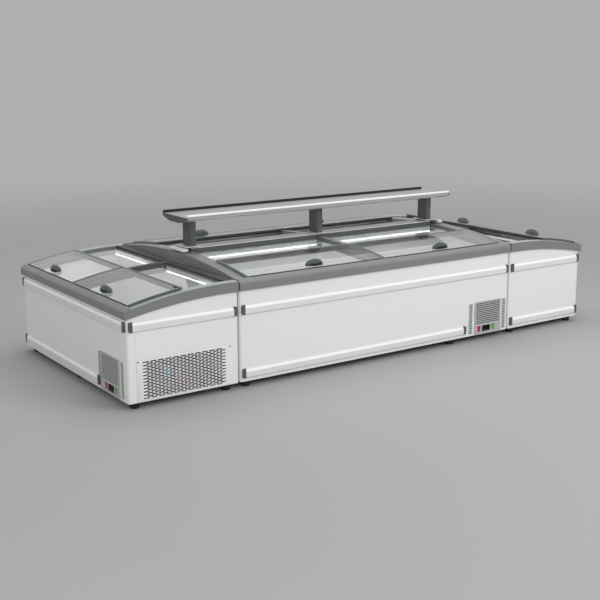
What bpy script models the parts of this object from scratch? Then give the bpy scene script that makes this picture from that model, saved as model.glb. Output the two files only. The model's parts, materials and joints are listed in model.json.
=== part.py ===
"""Freezer island: two end cabinets, a double-sided centre cabinet and a shelf above its ridge.

X runs along the row, Y through its depth, Z up from the floor, and the origin is under the middle.
The right cabinet is the left one turned half round, and so are the centre's rear lids.
"""
import math

import bmesh
import bpy
from mathutils import Matrix

# Driving dimensions, metres
CENTRE_LENGTH = 2.50
END_DEPTH = 0.81
ISLAND_DEPTH = 1.78
CABINET_GAP = 0.012
FOOT_HEIGHT = 0.045
FIT = 0.0003
SLIDE = 0.0006
SEAT = 0.001
CUT_PAST = 0.010

# Arched tops: height of the crown, radius of the sweep and of the frame's flatter underside
END_CROWN = 0.743
END_RADIUS = 3.05
END_CROWN_IN = 0.07
END_UNDER = 3.59
CENTRE_CROWN = 0.81
CENTRE_RADIUS = 5.32
CENTRE_UNDER = 6.20

# Grey top frame, measured from the edge of the arch
RIM_HEIGHT = 0.070
RIM_OUT = 0.014
RIM_STOP_IN = 0.0285
RIM_STOP_RISE = 0.011
RIM_SHOULDER = 0.018
RIM_CREST = 0.006
RIM_WIDTH = 0.050
LEDGE_DROP = 0.024
LEDGE_WIDTH = 0.022
END_RAIL = 0.050
CENTRE_RAIL = 0.100
INNER_RAIL = 0.065
MULLION_HALF = 0.025
RIDGE_HALF = 0.058
RIDGE_SHOULDER = 0.003
RIDGE_RISE = 0.024

# Glass
GLASS = 0.006
LID_RISE = 0.010
LID_INSET = 0.020
LID_RUNNER = 0.014
LID_SEAL = 0.030
LID_SEAL_DROP = 0.014
END_LID_LENGTH = 0.39
CENTRE_LID_LENGTH = 0.41
LID_OVERLAP = 0.022

# Cup handles
HANDLE_HALF = 0.074
HANDLE_REACH = 0.036
HANDLE_HEIGHT = 0.042
HANDLE_IN = 0.048
HANDLE_POCKET = 0.7

# Cabinets
WALL = 0.060
SKIN = 0.025
TUB_FLOOR = 0.120
TUB_MOUTH = 1.000
STEP_TOP = 0.372
BAY_TOP = 0.318
BAY_LENGTH = 0.450
BAY_BEHIND = 0.045
CENTRE_BAY_DEPTH = 0.620

# Control panel and vents
PANEL_WIDTH = 0.280
PANEL_BOTTOM = 0.052
PANEL_TOP = 0.310
PANEL_LAP = 0.006
PANEL_PROUD = 0.006
PANEL_DEPTH = 0.012
END_PANEL_MIDDLE = 0.260
CENTRE_PANEL_MIDDLE = 0.220
SWITCH_Z = 0.092
SWITCH_OFFSET = 0.076
END_SWITCHES = 0.015
CENTRE_SWITCHES = -0.017
SWITCH_WIDTH = 0.028
SWITCH_HEIGHT = 0.042
SWITCH_CLEARANCE = 0.0015
SWITCH_FRONT = 0.0065
SWITCH_DIP = 0.0035
SWITCH_BACK = 0.006
SWITCH_TILT = math.radians(8)
LOUVRES = 11
LOUVRE_WIDTH = 0.252
LOUVRE_BOTTOM = 0.134
LOUVRE_PITCH = 0.0155
VENT_SLOTS = 9
VENT_WIDTH = 0.030
VENT_MARGIN = 0.030
END_VENTS = (-0.180, 0.165)
CENTRE_VENTS = (-0.180, 0.175)

# Perforated panel
GRILLE_SIDE = 0.060
GRILLE_TOP = 0.3225
GRILLE_THICK = 0.003
GRILLE_ROWS = 7
GRILLE_COLUMNS = 9
GRILLE_SLOT = (0.040, 0.012)
GRILLE_PITCH = (0.066, 0.033)
GRILLE_MIDDLE_Z = 0.184

# Bumper rails
BUMPER_UPPER = 0.542
BUMPER_LOWER = 0.104
BUMPER_HALF = 0.031
BUMPER_OUT = 0.0135
BUMPER_ROUND = 0.003
BUMPER_CREASE = 0.006
BUMPER_NOSE = 0.006
BUMPER_END = 0.018
BUMPER_SUNK = 0.005
BUMPER_PANEL_END = 0.425
CENTRE_BUMPER_PANEL_END = 0.460

# Base plates and feet
FOOT_RADIUS = 0.030
FOOT_IN = 0.055
END_FOOT_OUTER = 0.065
END_FOOT_INNER = 0.075
CENTRE_FOOT_LEFT = 0.070
CENTRE_FOOT_BAY = 0.566
CENTRE_FOOT_RIGHT = 0.100
BASE_INSET = 0.020
BASE_THICK = 0.004
AIR_GAP = 0.020
END_AIR = (0.140, 0.300)
CENTRE_AIR = (0.260, 0.160)

# Condensing unit
UNIT_WIDTH = 0.360
TRAY_DEPTH = 0.340
TRAY_THICK = 0.006
COIL_FRONT = 0.060
COIL_DEPTH = 0.050
COIL_HEIGHT = 0.210
FAN_MIDDLE = 0.135
FAN_RADIUS = 0.085
FAN_Z = 0.165
FAN_BLADES = 5
FAN_OFFSET = 0.080
HUB_RADIUS = 0.024
HUB_HALF = 0.012
BLADE_ROOT = 0.018
BLADE_HALF = 0.022
BLADE_THICK = 0.003
BLADE_PITCH = math.radians(62)
MOTOR_RADIUS = 0.035
MOTOR_LENGTH = 0.060
BRACKET_HALF = 0.015
BRACKET_DEPTH = 0.035
COMPRESSOR_RADIUS = 0.075
COMPRESSOR_HEIGHT = 0.175
COMPRESSOR_ASIDE = 0.090
COMPRESSOR_BACK = 0.255

# Shelf and posts
SHELF_HALF_LENGTH = 1.245
SHELF_HALF_DEPTH = 0.182
SHELF_TOP = 1.074
SHELF_UNDER = 1.027
SHELF_FLAT_HALF = 0.062
SHELF_EDGE = 0.018
SHELF_BELLY = 1.25
SHELF_LIP = 0.017
SHELF_TRIM = 0.012
POST_X = 1.13
POST_HALF_DEPTH = 0.057
POST_HALF_THICK = 0.026
POST_ROUND = 0.006

# Derived places
HALF_L = CENTRE_LENGTH / 2
HALF_W = ISLAND_DEPTH / 2
LEFT_IN = -(HALF_L + CABINET_GAP)
LEFT_OUT = LEFT_IN - END_DEPTH
END_AXIS = (LEFT_IN - END_CROWN_IN, END_CROWN - END_RADIUS)
END_UNDER_AXIS = (END_AXIS[0], END_CROWN - RIM_HEIGHT - END_UNDER)
CENTRE_AXIS = (0.0, CENTRE_CROWN - CENTRE_RADIUS)
CENTRE_UNDER_AXIS = (0.0, CENTRE_CROWN - RIM_HEIGHT - CENTRE_UNDER)
HALF_TURN = math.pi
END_STEPS = 10
CENTRE_STEPS = 20
LID_STEPS = 6


def clear_scene():
    for old in list(bpy.data.objects):
        bpy.data.objects.remove(old, do_unlink=True)


def material(name, colour, roughness, metallic=0.0):
    mat = bpy.data.materials.new(name)
    mat.use_nodes = True
    shader = mat.node_tree.nodes["Principled BSDF"]
    shader.inputs["Base Color"].default_value = (*colour, 1.0)
    shader.inputs["Roughness"].default_value = roughness
    shader.inputs["Metallic"].default_value = metallic
    return mat


# Shape helpers

def add_prism(bm, outline, along, start, end):
    """Extrude an outline of (u, z) points along X or Y, or of (x, y) points along Z."""
    places = {
        "X": lambda u, v, w: (w, u, v),
        "Y": lambda u, v, w: (u, w, v),
        "Z": lambda u, v, w: (u, v, w),
    }
    near = [bm.verts.new(places[along](u, v, start)) for u, v in outline]
    far = [bm.verts.new(places[along](u, v, end)) for u, v in outline]
    faces = [bm.faces.new(near), bm.faces.new(far)]
    for i in range(len(outline)):
        j = (i + 1) % len(outline)
        faces.append(bm.faces.new((near[i], near[j], far[j], far[i])))
    bmesh.ops.recalc_face_normals(bm, faces=faces)
    return near + far


def add_box(bm, low, high):
    outline = [(low[0], low[1]), (high[0], low[1]), (high[0], high[1]), (low[0], high[1])]
    return add_prism(bm, outline, "Z", low[2], high[2])


def circle(centre, radius, count):
    steps = [2 * math.pi * i / count for i in range(count)]
    return [(centre[0] + radius * math.cos(a), centre[1] + radius * math.sin(a)) for a in steps]


def arc_angle(axis, radius, u):
    return math.asin((u - axis[0]) / radius)


def arc_points(axis, radius, first, last, count):
    """Points on a circle about the axis, by angle from straight up."""
    angles = [first + (last - first) * i / count for i in range(count + 1)]
    return [(axis[0] + radius * math.sin(a), axis[1] + radius * math.cos(a)) for a in angles]


def arch_band(axis, radius, low, high, start, end, count):
    """Outline between two levels of an arch, with its ends cut square to the sweep."""
    first = arc_angle(axis, radius, start)
    last = arc_angle(axis, radius, end)
    upper = arc_points(axis, radius + high, first, last, count)
    lower = arc_points(axis, radius + low, first, last, count)
    return upper + lower[::-1]


def arch_height(axis, radius, u, level=0.0):
    return axis[1] + math.sqrt((radius + level) ** 2 - (u - axis[0]) ** 2)


def make_object(name, bm, mat, origin=(0, 0, 0), turn=0.0, smooth=False):
    """Wrap a mesh drawn in the island's frame, with its origin moved, turned about the island's middle."""
    spin = Matrix.Rotation(turn, 4, "Z")
    bmesh.ops.translate(bm, verts=bm.verts, vec=[-c for c in origin])
    mesh = bpy.data.meshes.new(name)
    bm.to_mesh(mesh)
    bm.free()
    if smooth:
        mesh.shade_smooth()
        mesh.set_sharp_from_angle(angle=math.radians(35))
    obj = bpy.data.objects.new(name, mesh)
    obj.data.materials.append(mat)
    obj.matrix_world = spin @ Matrix.Translation(origin)
    bpy.context.scene.collection.objects.link(obj)
    return obj


def combine(obj, bm, operation):
    """Cut a shape from an object or fuse it on; the shape is drawn in the object's own frame."""
    mesh = bpy.data.meshes.new(obj.name + "_tool")
    bm.to_mesh(mesh)
    bm.free()
    tool = bpy.data.objects.new(mesh.name, mesh)
    bpy.context.scene.collection.objects.link(tool)
    tool.parent = obj
    tool.hide_render = True
    tool.display_type = "WIRE"
    modifier = obj.modifiers.new(operation.title(), "BOOLEAN")
    modifier.operation = operation
    modifier.object = tool
    modifier.solver = "EXACT"


def cut_boxes(obj, boxes):
    bm = bmesh.new()
    for low, high in boxes:
        add_box(bm, low, high)
    combine(obj, bm, "DIFFERENCE")


def seen_name(bay, turn):
    """Name of a bay as it stands: a half turn swaps front with rear and left with right."""
    swapped = {"front": "rear", "rear": "front", "left": "right", "right": "left"}
    return swapped[bay] if turn else bay


# Shared outlines

def rim_outline(axis, radius, under_axis, under, edge, inward):
    """Outer rim from its underside up and over to the lid's stop; inward is +1 or -1 along the arch."""
    outer = edge - inward * RIM_OUT
    top = arch_height(axis, radius, edge)
    stop = arc_angle(axis, radius, edge + inward * RIM_STOP_IN)
    foot = arc_points(axis, radius, stop, stop, 1)[0]
    crest = arc_points(axis, radius + RIM_STOP_RISE, stop, stop, 1)[0]
    return [
        (outer, arch_height(under_axis, under, outer)),
        (outer, top - RIM_SHOULDER),
        (outer + inward * RIM_SHOULDER * 0.17, top - RIM_SHOULDER * 0.5),
        (outer + inward * RIM_SHOULDER * 0.55, top - RIM_SHOULDER * 0.05),
        (crest[0] - inward * RIM_CREST, crest[1]),
        crest,
        foot,
    ]


def bumper_outline(face, out, middle):
    """Rail with an upright lower face and a sloping upper one; out, +1 or -1, is the way it stands proud."""
    root = face + out * FIT
    proud = root + out * BUMPER_OUT
    low = middle - BUMPER_HALF
    high = middle + BUMPER_HALF
    return [
        (root, low),
        (proud - out * BUMPER_ROUND, low),
        (proud, low + BUMPER_ROUND),
        (proud, middle + BUMPER_CREASE),
        (root + out * BUMPER_NOSE, high - BUMPER_ROUND),
        (root + out * (BUMPER_NOSE - BUMPER_ROUND), high),
        (root, high),
    ]


def slot_grid(middle, depth_range):
    """Staggered slots of the perforated panel, as boxes through a wall that faces Y."""
    boxes = []
    for row in range(GRILLE_ROWS):
        stagger = (row % 2 - 0.5) * GRILLE_PITCH[0] / 2
        z = GRILLE_MIDDLE_Z + (row - (GRILLE_ROWS - 1) / 2) * GRILLE_PITCH[1]
        for column in range(GRILLE_COLUMNS):
            x = middle + (column - (GRILLE_COLUMNS - 1) / 2) * GRILLE_PITCH[0] + stagger
            low = (x - GRILLE_SLOT[0] / 2, depth_range[0], z - GRILLE_SLOT[1] / 2)
            high = (x + GRILLE_SLOT[0] / 2, depth_range[1], z + GRILLE_SLOT[1] / 2)
            boxes.append((low, high))
    return boxes


def vent_boxes(middles, make_box):
    """Short slots stacked either side of the control panel."""
    boxes = []
    pitch = (PANEL_TOP - PANEL_BOTTOM - VENT_MARGIN) / VENT_SLOTS
    for middle in middles:
        for i in range(VENT_SLOTS):
            z = PANEL_BOTTOM + VENT_MARGIN + pitch * i
            boxes.append(make_box(middle, z, z + pitch / 2))
    return boxes


# End cabinets

def end_cabinet(side, turn, mat):
    """Steel shell, foam and liner in one insulated box with a step over the machine bay."""
    bm = bmesh.new()
    left = arc_angle(END_UNDER_AXIS, END_UNDER, LEFT_OUT)
    right = arc_angle(END_UNDER_AXIS, END_UNDER, LEFT_IN)
    top = arc_points(END_UNDER_AXIS, END_UNDER - FIT, right, left, END_STEPS)
    add_prism(bm, [(LEFT_OUT, FOOT_HEIGHT), (LEFT_IN, FOOT_HEIGHT)] + top, "Y", -HALF_W, HALF_W)
    obj = make_object(side + "_cabinet", bm, mat, turn=turn)
    step = -HALF_W + BAY_LENGTH + BAY_BEHIND
    tub_x = (LEFT_OUT + WALL, LEFT_IN - WALL)
    cut_boxes(obj, [((tub_x[0], step, TUB_FLOOR), (tub_x[1], HALF_W - WALL, TUB_MOUTH))])
    cut_boxes(obj, [((tub_x[0], -HALF_W + WALL, STEP_TOP), (tub_x[1], step + WALL, TUB_MOUTH))])
    cut_boxes(obj, [((LEFT_OUT + SKIN, -HALF_W + SKIN, 0), (LEFT_IN - SKIN, -HALF_W + BAY_LENGTH, BAY_TOP))])
    panel = -HALF_W + END_PANEL_MIDDLE
    half = PANEL_WIDTH / 2 - PANEL_LAP
    wall = (LEFT_OUT - CUT_PAST, LEFT_OUT + SKIN + CUT_PAST)
    openings = [((wall[0], panel - half, PANEL_BOTTOM + PANEL_LAP),
                 (wall[1], panel + half, PANEL_TOP - PANEL_LAP))]
    openings += vent_boxes(
        [panel + offset for offset in END_VENTS],
        lambda y, low, high: ((wall[0], y - VENT_WIDTH / 2, low), (wall[1], y + VENT_WIDTH / 2, high)))
    through_wall = (-HALF_W - CUT_PAST, -HALF_W + SKIN + CUT_PAST)
    middle = (LEFT_OUT + LEFT_IN) / 2
    if side == "left":
        low = (LEFT_OUT + GRILLE_SIDE + PANEL_LAP, through_wall[0], PANEL_BOTTOM + PANEL_LAP)
        high = (LEFT_IN - GRILLE_SIDE - PANEL_LAP, through_wall[1], GRILLE_TOP - PANEL_LAP)
        openings.append((low, high))
    else:
        openings += slot_grid(middle, through_wall)
    cut_boxes(obj, openings)
    return obj


def fuse_bumper(obj, face, out, middle, along, start, end):
    """Join a bumper rail to its cabinet, sunk into the wall so that the two are one body."""
    bm = bmesh.new()
    points = bumper_outline(face, out, middle)
    sunk = [(face - out * BUMPER_SUNK, points[-1][1]), (face - out * BUMPER_SUNK, points[0][1])]
    add_prism(bm, points + sunk, along, start, end)
    combine(obj, bm, "UNION")


def bumper(name, face, out, middle, along, start, end, mat, turn=0.0):
    bm = bmesh.new()
    add_prism(bm, bumper_outline(face, out, middle), along, start, end)
    return make_object(name, bm, mat, turn=turn, smooth=True)


def end_frame(side, turn, mat):
    """Grey frame on an end cabinet: arched side rails, outer rim, inner rail and a mullion."""
    bm = bmesh.new()
    rim = rim_outline(END_AXIS, END_RADIUS, END_UNDER_AXIS, END_UNDER, LEFT_OUT, 1)
    first = arc_angle(END_AXIS, END_RADIUS, LEFT_OUT + RIM_STOP_IN)
    last = arc_angle(END_AXIS, END_RADIUS, LEFT_IN)
    top = arc_points(END_AXIS, END_RADIUS, first, last, END_STEPS)[1:]
    low = arc_angle(END_UNDER_AXIS, END_UNDER, LEFT_OUT)
    high = arc_angle(END_UNDER_AXIS, END_UNDER, LEFT_IN)
    under = arc_points(END_UNDER_AXIS, END_UNDER, high, low, END_STEPS)
    add_prism(bm, rim + top + under, "Y", -HALF_W - RIM_OUT, HALF_W + RIM_OUT)
    obj = make_object(side + "_top_frame", bm, mat, turn=turn)
    bays = ((-HALF_W + END_RAIL, -MULLION_HALF), (MULLION_HALF, HALF_W - END_RAIL))
    recess = bmesh.new()
    through = bmesh.new()
    for start, end in bays:
        sweep = (LEFT_OUT + RIM_WIDTH, LEFT_IN - INNER_RAIL)
        outline = arch_band(END_AXIS, END_RADIUS, -LEDGE_DROP, RIM_WIDTH, *sweep, END_STEPS)
        add_prism(recess, outline, "Y", start, end)
        sweep = (LEFT_OUT + RIM_WIDTH, LEFT_IN - INNER_RAIL - LEDGE_WIDTH)
        outline = arch_band(END_AXIS, END_RADIUS, -RIM_HEIGHT - CUT_PAST, RIM_WIDTH, *sweep, END_STEPS)
        add_prism(through, outline, "Y", start + LEDGE_WIDTH, end - LEDGE_WIDTH)
    combine(obj, recess, "DIFFERENCE")
    combine(obj, through, "DIFFERENCE")
    return obj


def lid_shape(axis, radius, along, first, last, seal, side_a, side_b, recess_a, recess_b):
    """Curved pane on two side runners, with a seal strip hanging from its inner edge."""
    bm = bmesh.new()
    outline = arch_band(axis, radius, LID_RISE, LID_RISE + GLASS, first, last, LID_STEPS)
    add_prism(bm, outline, along, side_a, side_b)
    parts = []
    for start, end in ((side_a, side_a + LID_RUNNER), (side_b - LID_RUNNER, side_b)):
        runner = bmesh.new()
        outline = arch_band(axis, radius, SLIDE, LID_RISE + SEAT, first, last, LID_STEPS)
        add_prism(runner, outline, along, start, end)
        parts.append(runner)
    strip = bmesh.new()
    outline = arch_band(axis, radius, -LID_SEAL_DROP, LID_RISE + SEAT, *seal, 1)
    add_prism(strip, outline, along, recess_a, recess_b)
    parts.append(strip)
    return bm, parts


def shift_parts(parts, origin):
    for bm in parts:
        bmesh.ops.translate(bm, verts=bm.verts, vec=[-c for c in origin])


def build_lid(name, shape, origin, turn, mat):
    bm, parts = shape
    obj = make_object(name, bm, mat, origin, turn, smooth=True)
    shift_parts(parts, origin)
    for part in parts:
        combine(obj, part, "UNION")
    return obj


def handle_shape(place):
    """Cup handle: a half dome whose outer side is hollowed for the fingers; place moves it to its lid."""
    bm = bmesh.new()
    rings = 4
    count = 16
    loops = []
    for ring in range(rings):
        rise = math.radians(90 * ring / rings)
        spread = math.cos(rise)
        points = circle((0, 0), 1.0, count)
        loops.append([bm.verts.new((x * HANDLE_HALF * spread, y * HANDLE_REACH * spread,
                                    HANDLE_HEIGHT * math.sin(rise))) for x, y in points])
    crown = bm.verts.new((0, 0, HANDLE_HEIGHT))
    bm.faces.new(loops[0][::-1])
    for lower, upper in zip(loops, loops[1:]):
        for i in range(count):
            j = (i + 1) % count
            bm.faces.new((lower[i], lower[j], upper[j], upper[i]))
    for i in range(count):
        bm.faces.new((loops[-1][i], loops[-1][(i + 1) % count], crown))
    bmesh.ops.recalc_face_normals(bm, faces=bm.faces)
    bmesh.ops.transform(bm, matrix=place, verts=bm.verts)
    pocket = bmesh.new()
    outline = [(x * HANDLE_HALF * HANDLE_POCKET, z * HANDLE_HEIGHT * HANDLE_POCKET)
               for x, z in circle((0, 0), 1.0, 20) if z > -0.01]
    outline += [(-HANDLE_HALF * HANDLE_POCKET, -CUT_PAST), (HANDLE_HALF * HANDLE_POCKET, -CUT_PAST)]
    add_prism(pocket, outline, "Y", -HANDLE_REACH * 1.5, -HANDLE_REACH * 0.15)
    bmesh.ops.transform(pocket, matrix=place, verts=pocket.verts)
    return bm, pocket


def build_handle(name, place, origin, turn, mat):
    bm, pocket = handle_shape(place)
    obj = make_object(name, bm, mat, origin, turn, smooth=True)
    shift_parts([pocket], origin)
    combine(obj, pocket, "DIFFERENCE")
    return obj


def end_lids(side, turn, mats):
    """Two bays, each with a sliding outer lid and a fixed inner pane one level lower."""
    first = LEFT_OUT + RIM_STOP_IN + FIT
    last = first + END_LID_LENGTH
    level = LID_RISE + GLASS + FIT
    for bay, sign in (("front", -1), ("rear", 1)):
        spans = sorted((sign * (HALF_W - END_RAIL + LID_INSET), sign * (MULLION_HALF - LID_INSET)))
        recess = sorted((sign * (HALF_W - END_RAIL - SEAT), sign * (MULLION_HALF + SEAT)))
        name = side + "_" + seen_name(bay, turn)
        origin = (END_AXIS[0], sum(spans) / 2, END_AXIS[1])
        seal = (last - LID_SEAL, last)
        shape = lid_shape(END_AXIS, END_RADIUS, "Y", first, last, seal, *spans, *recess)
        build_lid(name + "_lid", shape, origin, turn, mats["glass"])
        bm = bmesh.new()
        outline = arch_band(END_AXIS, END_RADIUS, FIT - LEDGE_DROP, FIT - LEDGE_DROP + GLASS,
                            last - LID_OVERLAP, LEFT_IN - INNER_RAIL - SEAT / 2, LID_STEPS)
        add_prism(bm, outline, "Y", recess[0] - SEAT / 2, recess[1] + SEAT / 2)
        make_object(name + "_pane", bm, mats["glass"], turn=turn, smooth=True)
        place_x = LEFT_OUT + RIM_STOP_IN + HANDLE_IN
        tilt = arc_angle(END_AXIS, END_RADIUS, place_x)
        place = (Matrix.Translation((place_x, origin[1], arch_height(END_AXIS, END_RADIUS, place_x, level)))
                 @ Matrix.Rotation(tilt, 4, "Y") @ Matrix.Rotation(-math.pi / 2, 4, "Z"))
        build_handle(name + "_handle", place, origin, turn, mats["handle"])


def base_plate(name, low, high, feet, air, mat, turn=0.0):
    """Steel base plate with its levelling feet and the air openings under the machine bay."""
    bm = bmesh.new()
    top = FOOT_HEIGHT - FIT
    add_box(bm, (low[0], low[1], top - BASE_THICK), (high[0], high[1], top))
    obj = make_object(name, bm, mat, turn=turn)
    pads = bmesh.new()
    for x, y in feet:
        add_prism(pads, circle((x, y), FOOT_RADIUS, 16), "Z", 0.0, top - BASE_THICK / 2)
    combine(obj, pads, "UNION")
    cut_boxes(obj, [((x[0], y[0], 0), (x[1], y[1], FOOT_HEIGHT + CUT_PAST)) for x, y in air])
    return obj


def grille_panel(mat):
    """White lift-off panel with staggered slots, in front of the left cabinet's machine bay."""
    bm = bmesh.new()
    back = -HALF_W - FIT
    add_box(bm, (LEFT_OUT + GRILLE_SIDE, back - GRILLE_THICK, PANEL_BOTTOM),
            (LEFT_IN - GRILLE_SIDE, back, GRILLE_TOP))
    obj = make_object("left_grille_panel", bm, mat)
    cut_boxes(obj, slot_grid((LEFT_OUT + LEFT_IN) / 2, (back - GRILLE_THICK - CUT_PAST, back + CUT_PAST)))
    return obj


# Control panels: drawn facing -Y about x = 0, then turned and moved to their wall

def panel_place(position, face_turn, turn):
    return Matrix.Rotation(turn, 4, "Z") @ Matrix.Translation(position) @ Matrix.Rotation(face_turn, 4, "Z")


def control_panel(name, place, row, mat):
    """Louvred panel with a flange on the wall, a box behind it and holes for two rocker switches."""
    bm = bmesh.new()
    half = PANEL_WIDTH / 2
    add_box(bm, (-half, -PANEL_PROUD, PANEL_BOTTOM), (half, -FIT, PANEL_TOP))
    obj = make_object(name, bm, mat)
    obj.matrix_world = place
    body = bmesh.new()
    inner = half - PANEL_LAP - SEAT
    add_box(body, (-inner, -PANEL_PROUD / 2, PANEL_BOTTOM + PANEL_LAP + SEAT),
            (inner, PANEL_DEPTH, PANEL_TOP - PANEL_LAP - SEAT))
    combine(obj, body, "UNION")
    boxes = []
    cut = PANEL_DEPTH + CUT_PAST
    for i in range(LOUVRES):
        z = LOUVRE_BOTTOM + LOUVRE_PITCH * i
        boxes.append(((-LOUVRE_WIDTH / 2, -cut, z), (LOUVRE_WIDTH / 2, cut, z + LOUVRE_PITCH / 2)))
    wide = SWITCH_WIDTH / 2 + SWITCH_CLEARANCE
    tall = SWITCH_HEIGHT / 2 + SWITCH_CLEARANCE
    for x in (row - SWITCH_OFFSET, row + SWITCH_OFFSET):
        boxes.append(((x - wide, -cut, SWITCH_Z - tall), (x + wide, cut, SWITCH_Z + tall)))
    cut_boxes(obj, boxes)
    return obj


def rocker(name, offset, place, mat):
    """Rocker switch with a shallow V face, resting tipped over its own axle."""
    bm = bmesh.new()
    tall = SWITCH_HEIGHT / 2
    outline = [(-SWITCH_FRONT, -tall), (SWITCH_BACK, -tall), (SWITCH_BACK, tall), (-SWITCH_FRONT, tall),
               (-SWITCH_DIP, 0.0)]
    add_prism(bm, outline, "X", -SWITCH_WIDTH / 2, SWITCH_WIDTH / 2)
    bmesh.ops.rotate(bm, cent=(0, 0, 0), matrix=Matrix.Rotation(SWITCH_TILT, 3, "X"), verts=bm.verts)
    obj = make_object(name, bm, mat)
    obj.matrix_world = place @ Matrix.Translation((offset, -PANEL_PROUD / 2, SWITCH_Z))
    return obj


def control_group(side, position, face_turn, turn, row, mats):
    place = panel_place(position, face_turn, turn)
    control_panel(side + "_control_panel", place, row, mats["panel"])
    rocker(side + "_red_switch", row - SWITCH_OFFSET, place, mats["red"])
    rocker(side + "_green_switch", row + SWITCH_OFFSET, place, mats["green"])


# Refrigeration machinery

def condensing_unit(side, middle, turn, mat):
    """Tray, finned coil block, fan motor on its bracket and compressor, bolted up as one unit."""
    front = -HALF_W + COIL_FRONT
    floor = FOOT_HEIGHT + FIT
    sunk = floor + TRAY_THICK / 2
    half = UNIT_WIDTH / 2
    bm = bmesh.new()
    add_box(bm, (middle - half, front, floor), (middle + half, front + TRAY_DEPTH, floor + TRAY_THICK))
    obj = make_object(side + "_condensing_unit", bm, mat, turn=turn)
    blocks = bmesh.new()
    add_box(blocks, (middle - half, front, sunk), (middle + half, front + COIL_DEPTH, floor + COIL_HEIGHT))
    shaft = middle - FAN_OFFSET
    motor_front = -HALF_W + FAN_MIDDLE + HUB_HALF + SEAT / 2
    bracket = motor_front + CUT_PAST
    add_box(blocks, (shaft - BRACKET_HALF, bracket, sunk),
            (shaft + BRACKET_HALF, bracket + BRACKET_DEPTH, FAN_Z - MOTOR_RADIUS / 2))
    pot = circle((middle + COMPRESSOR_ASIDE, front + COMPRESSOR_BACK), COMPRESSOR_RADIUS, 24)
    add_prism(blocks, pot, "Z", sunk, floor + COMPRESSOR_HEIGHT)
    combine(obj, blocks, "UNION")
    motor = bmesh.new()
    add_prism(motor, circle((shaft, FAN_Z), MOTOR_RADIUS, 20), "Y", motor_front, motor_front + MOTOR_LENGTH)
    combine(obj, motor, "UNION")
    return obj


def fan(side, middle, turn, mat):
    """Axial fan on the motor's shaft, blowing through the coil."""
    origin = (middle - FAN_OFFSET, -HALF_W + FAN_MIDDLE, FAN_Z)
    bm = bmesh.new()
    hub = circle((origin[0], origin[2]), HUB_RADIUS, 20)
    add_prism(bm, hub, "Y", origin[1] - HUB_HALF, origin[1] + HUB_HALF)
    obj = make_object(side + "_fan", bm, mat, origin, turn, smooth=True)
    blades = bmesh.new()
    for i in range(FAN_BLADES):
        low = (BLADE_ROOT, -BLADE_HALF, -BLADE_THICK / 2)
        blade = add_box(blades, low, (FAN_RADIUS, BLADE_HALF, BLADE_THICK / 2))
        around = Matrix.Rotation(2 * math.pi * i / FAN_BLADES, 4, "Y")
        bmesh.ops.transform(blades, matrix=around @ Matrix.Rotation(BLADE_PITCH, 4, "X"), verts=blade)
    combine(obj, blades, "UNION")
    return obj


# Centre cabinet

def centre_cabinet(mat):
    """Double-sided insulated box, arched across its depth, with a machine bay at its front right."""
    bm = bmesh.new()
    edge = arc_angle(CENTRE_UNDER_AXIS, CENTRE_UNDER, HALF_W)
    top = arc_points(CENTRE_UNDER_AXIS, CENTRE_UNDER - FIT, edge, -edge, CENTRE_STEPS)
    add_prism(bm, [(-HALF_W, FOOT_HEIGHT), (HALF_W, FOOT_HEIGHT)] + top, "X", -HALF_L, HALF_L)
    obj = make_object("centre_cabinet", bm, mat)
    step_x = HALF_L - BAY_LENGTH - BAY_BEHIND
    step_y = -HALF_W + CENTRE_BAY_DEPTH + BAY_BEHIND
    back = HALF_W - WALL
    end = HALF_L - WALL
    cut_boxes(obj, [((-end, -back, TUB_FLOOR), (step_x, back, TUB_MOUTH))])
    cut_boxes(obj, [((step_x - WALL, step_y, TUB_FLOOR), (end, back, TUB_MOUTH))])
    cut_boxes(obj, [((step_x - WALL, -back, STEP_TOP), (end, step_y + WALL, TUB_MOUTH))])
    cut_boxes(obj, [((HALF_L - BAY_LENGTH, -HALF_W + SKIN, 0),
                     (HALF_L - SKIN, -HALF_W + CENTRE_BAY_DEPTH, BAY_TOP))])
    panel = HALF_L - CENTRE_PANEL_MIDDLE
    half = PANEL_WIDTH / 2 - PANEL_LAP
    wall = (-HALF_W - CUT_PAST, -HALF_W + SKIN + CUT_PAST)
    openings = [((panel - half, wall[0], PANEL_BOTTOM + PANEL_LAP),
                 (panel + half, wall[1], PANEL_TOP - PANEL_LAP))]
    openings += vent_boxes(
        [panel + offset for offset in CENTRE_VENTS],
        lambda x, low, high: ((x - VENT_WIDTH / 2, wall[0], low), (x + VENT_WIDTH / 2, wall[1], high)))
    cut_boxes(obj, openings)
    return obj


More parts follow.
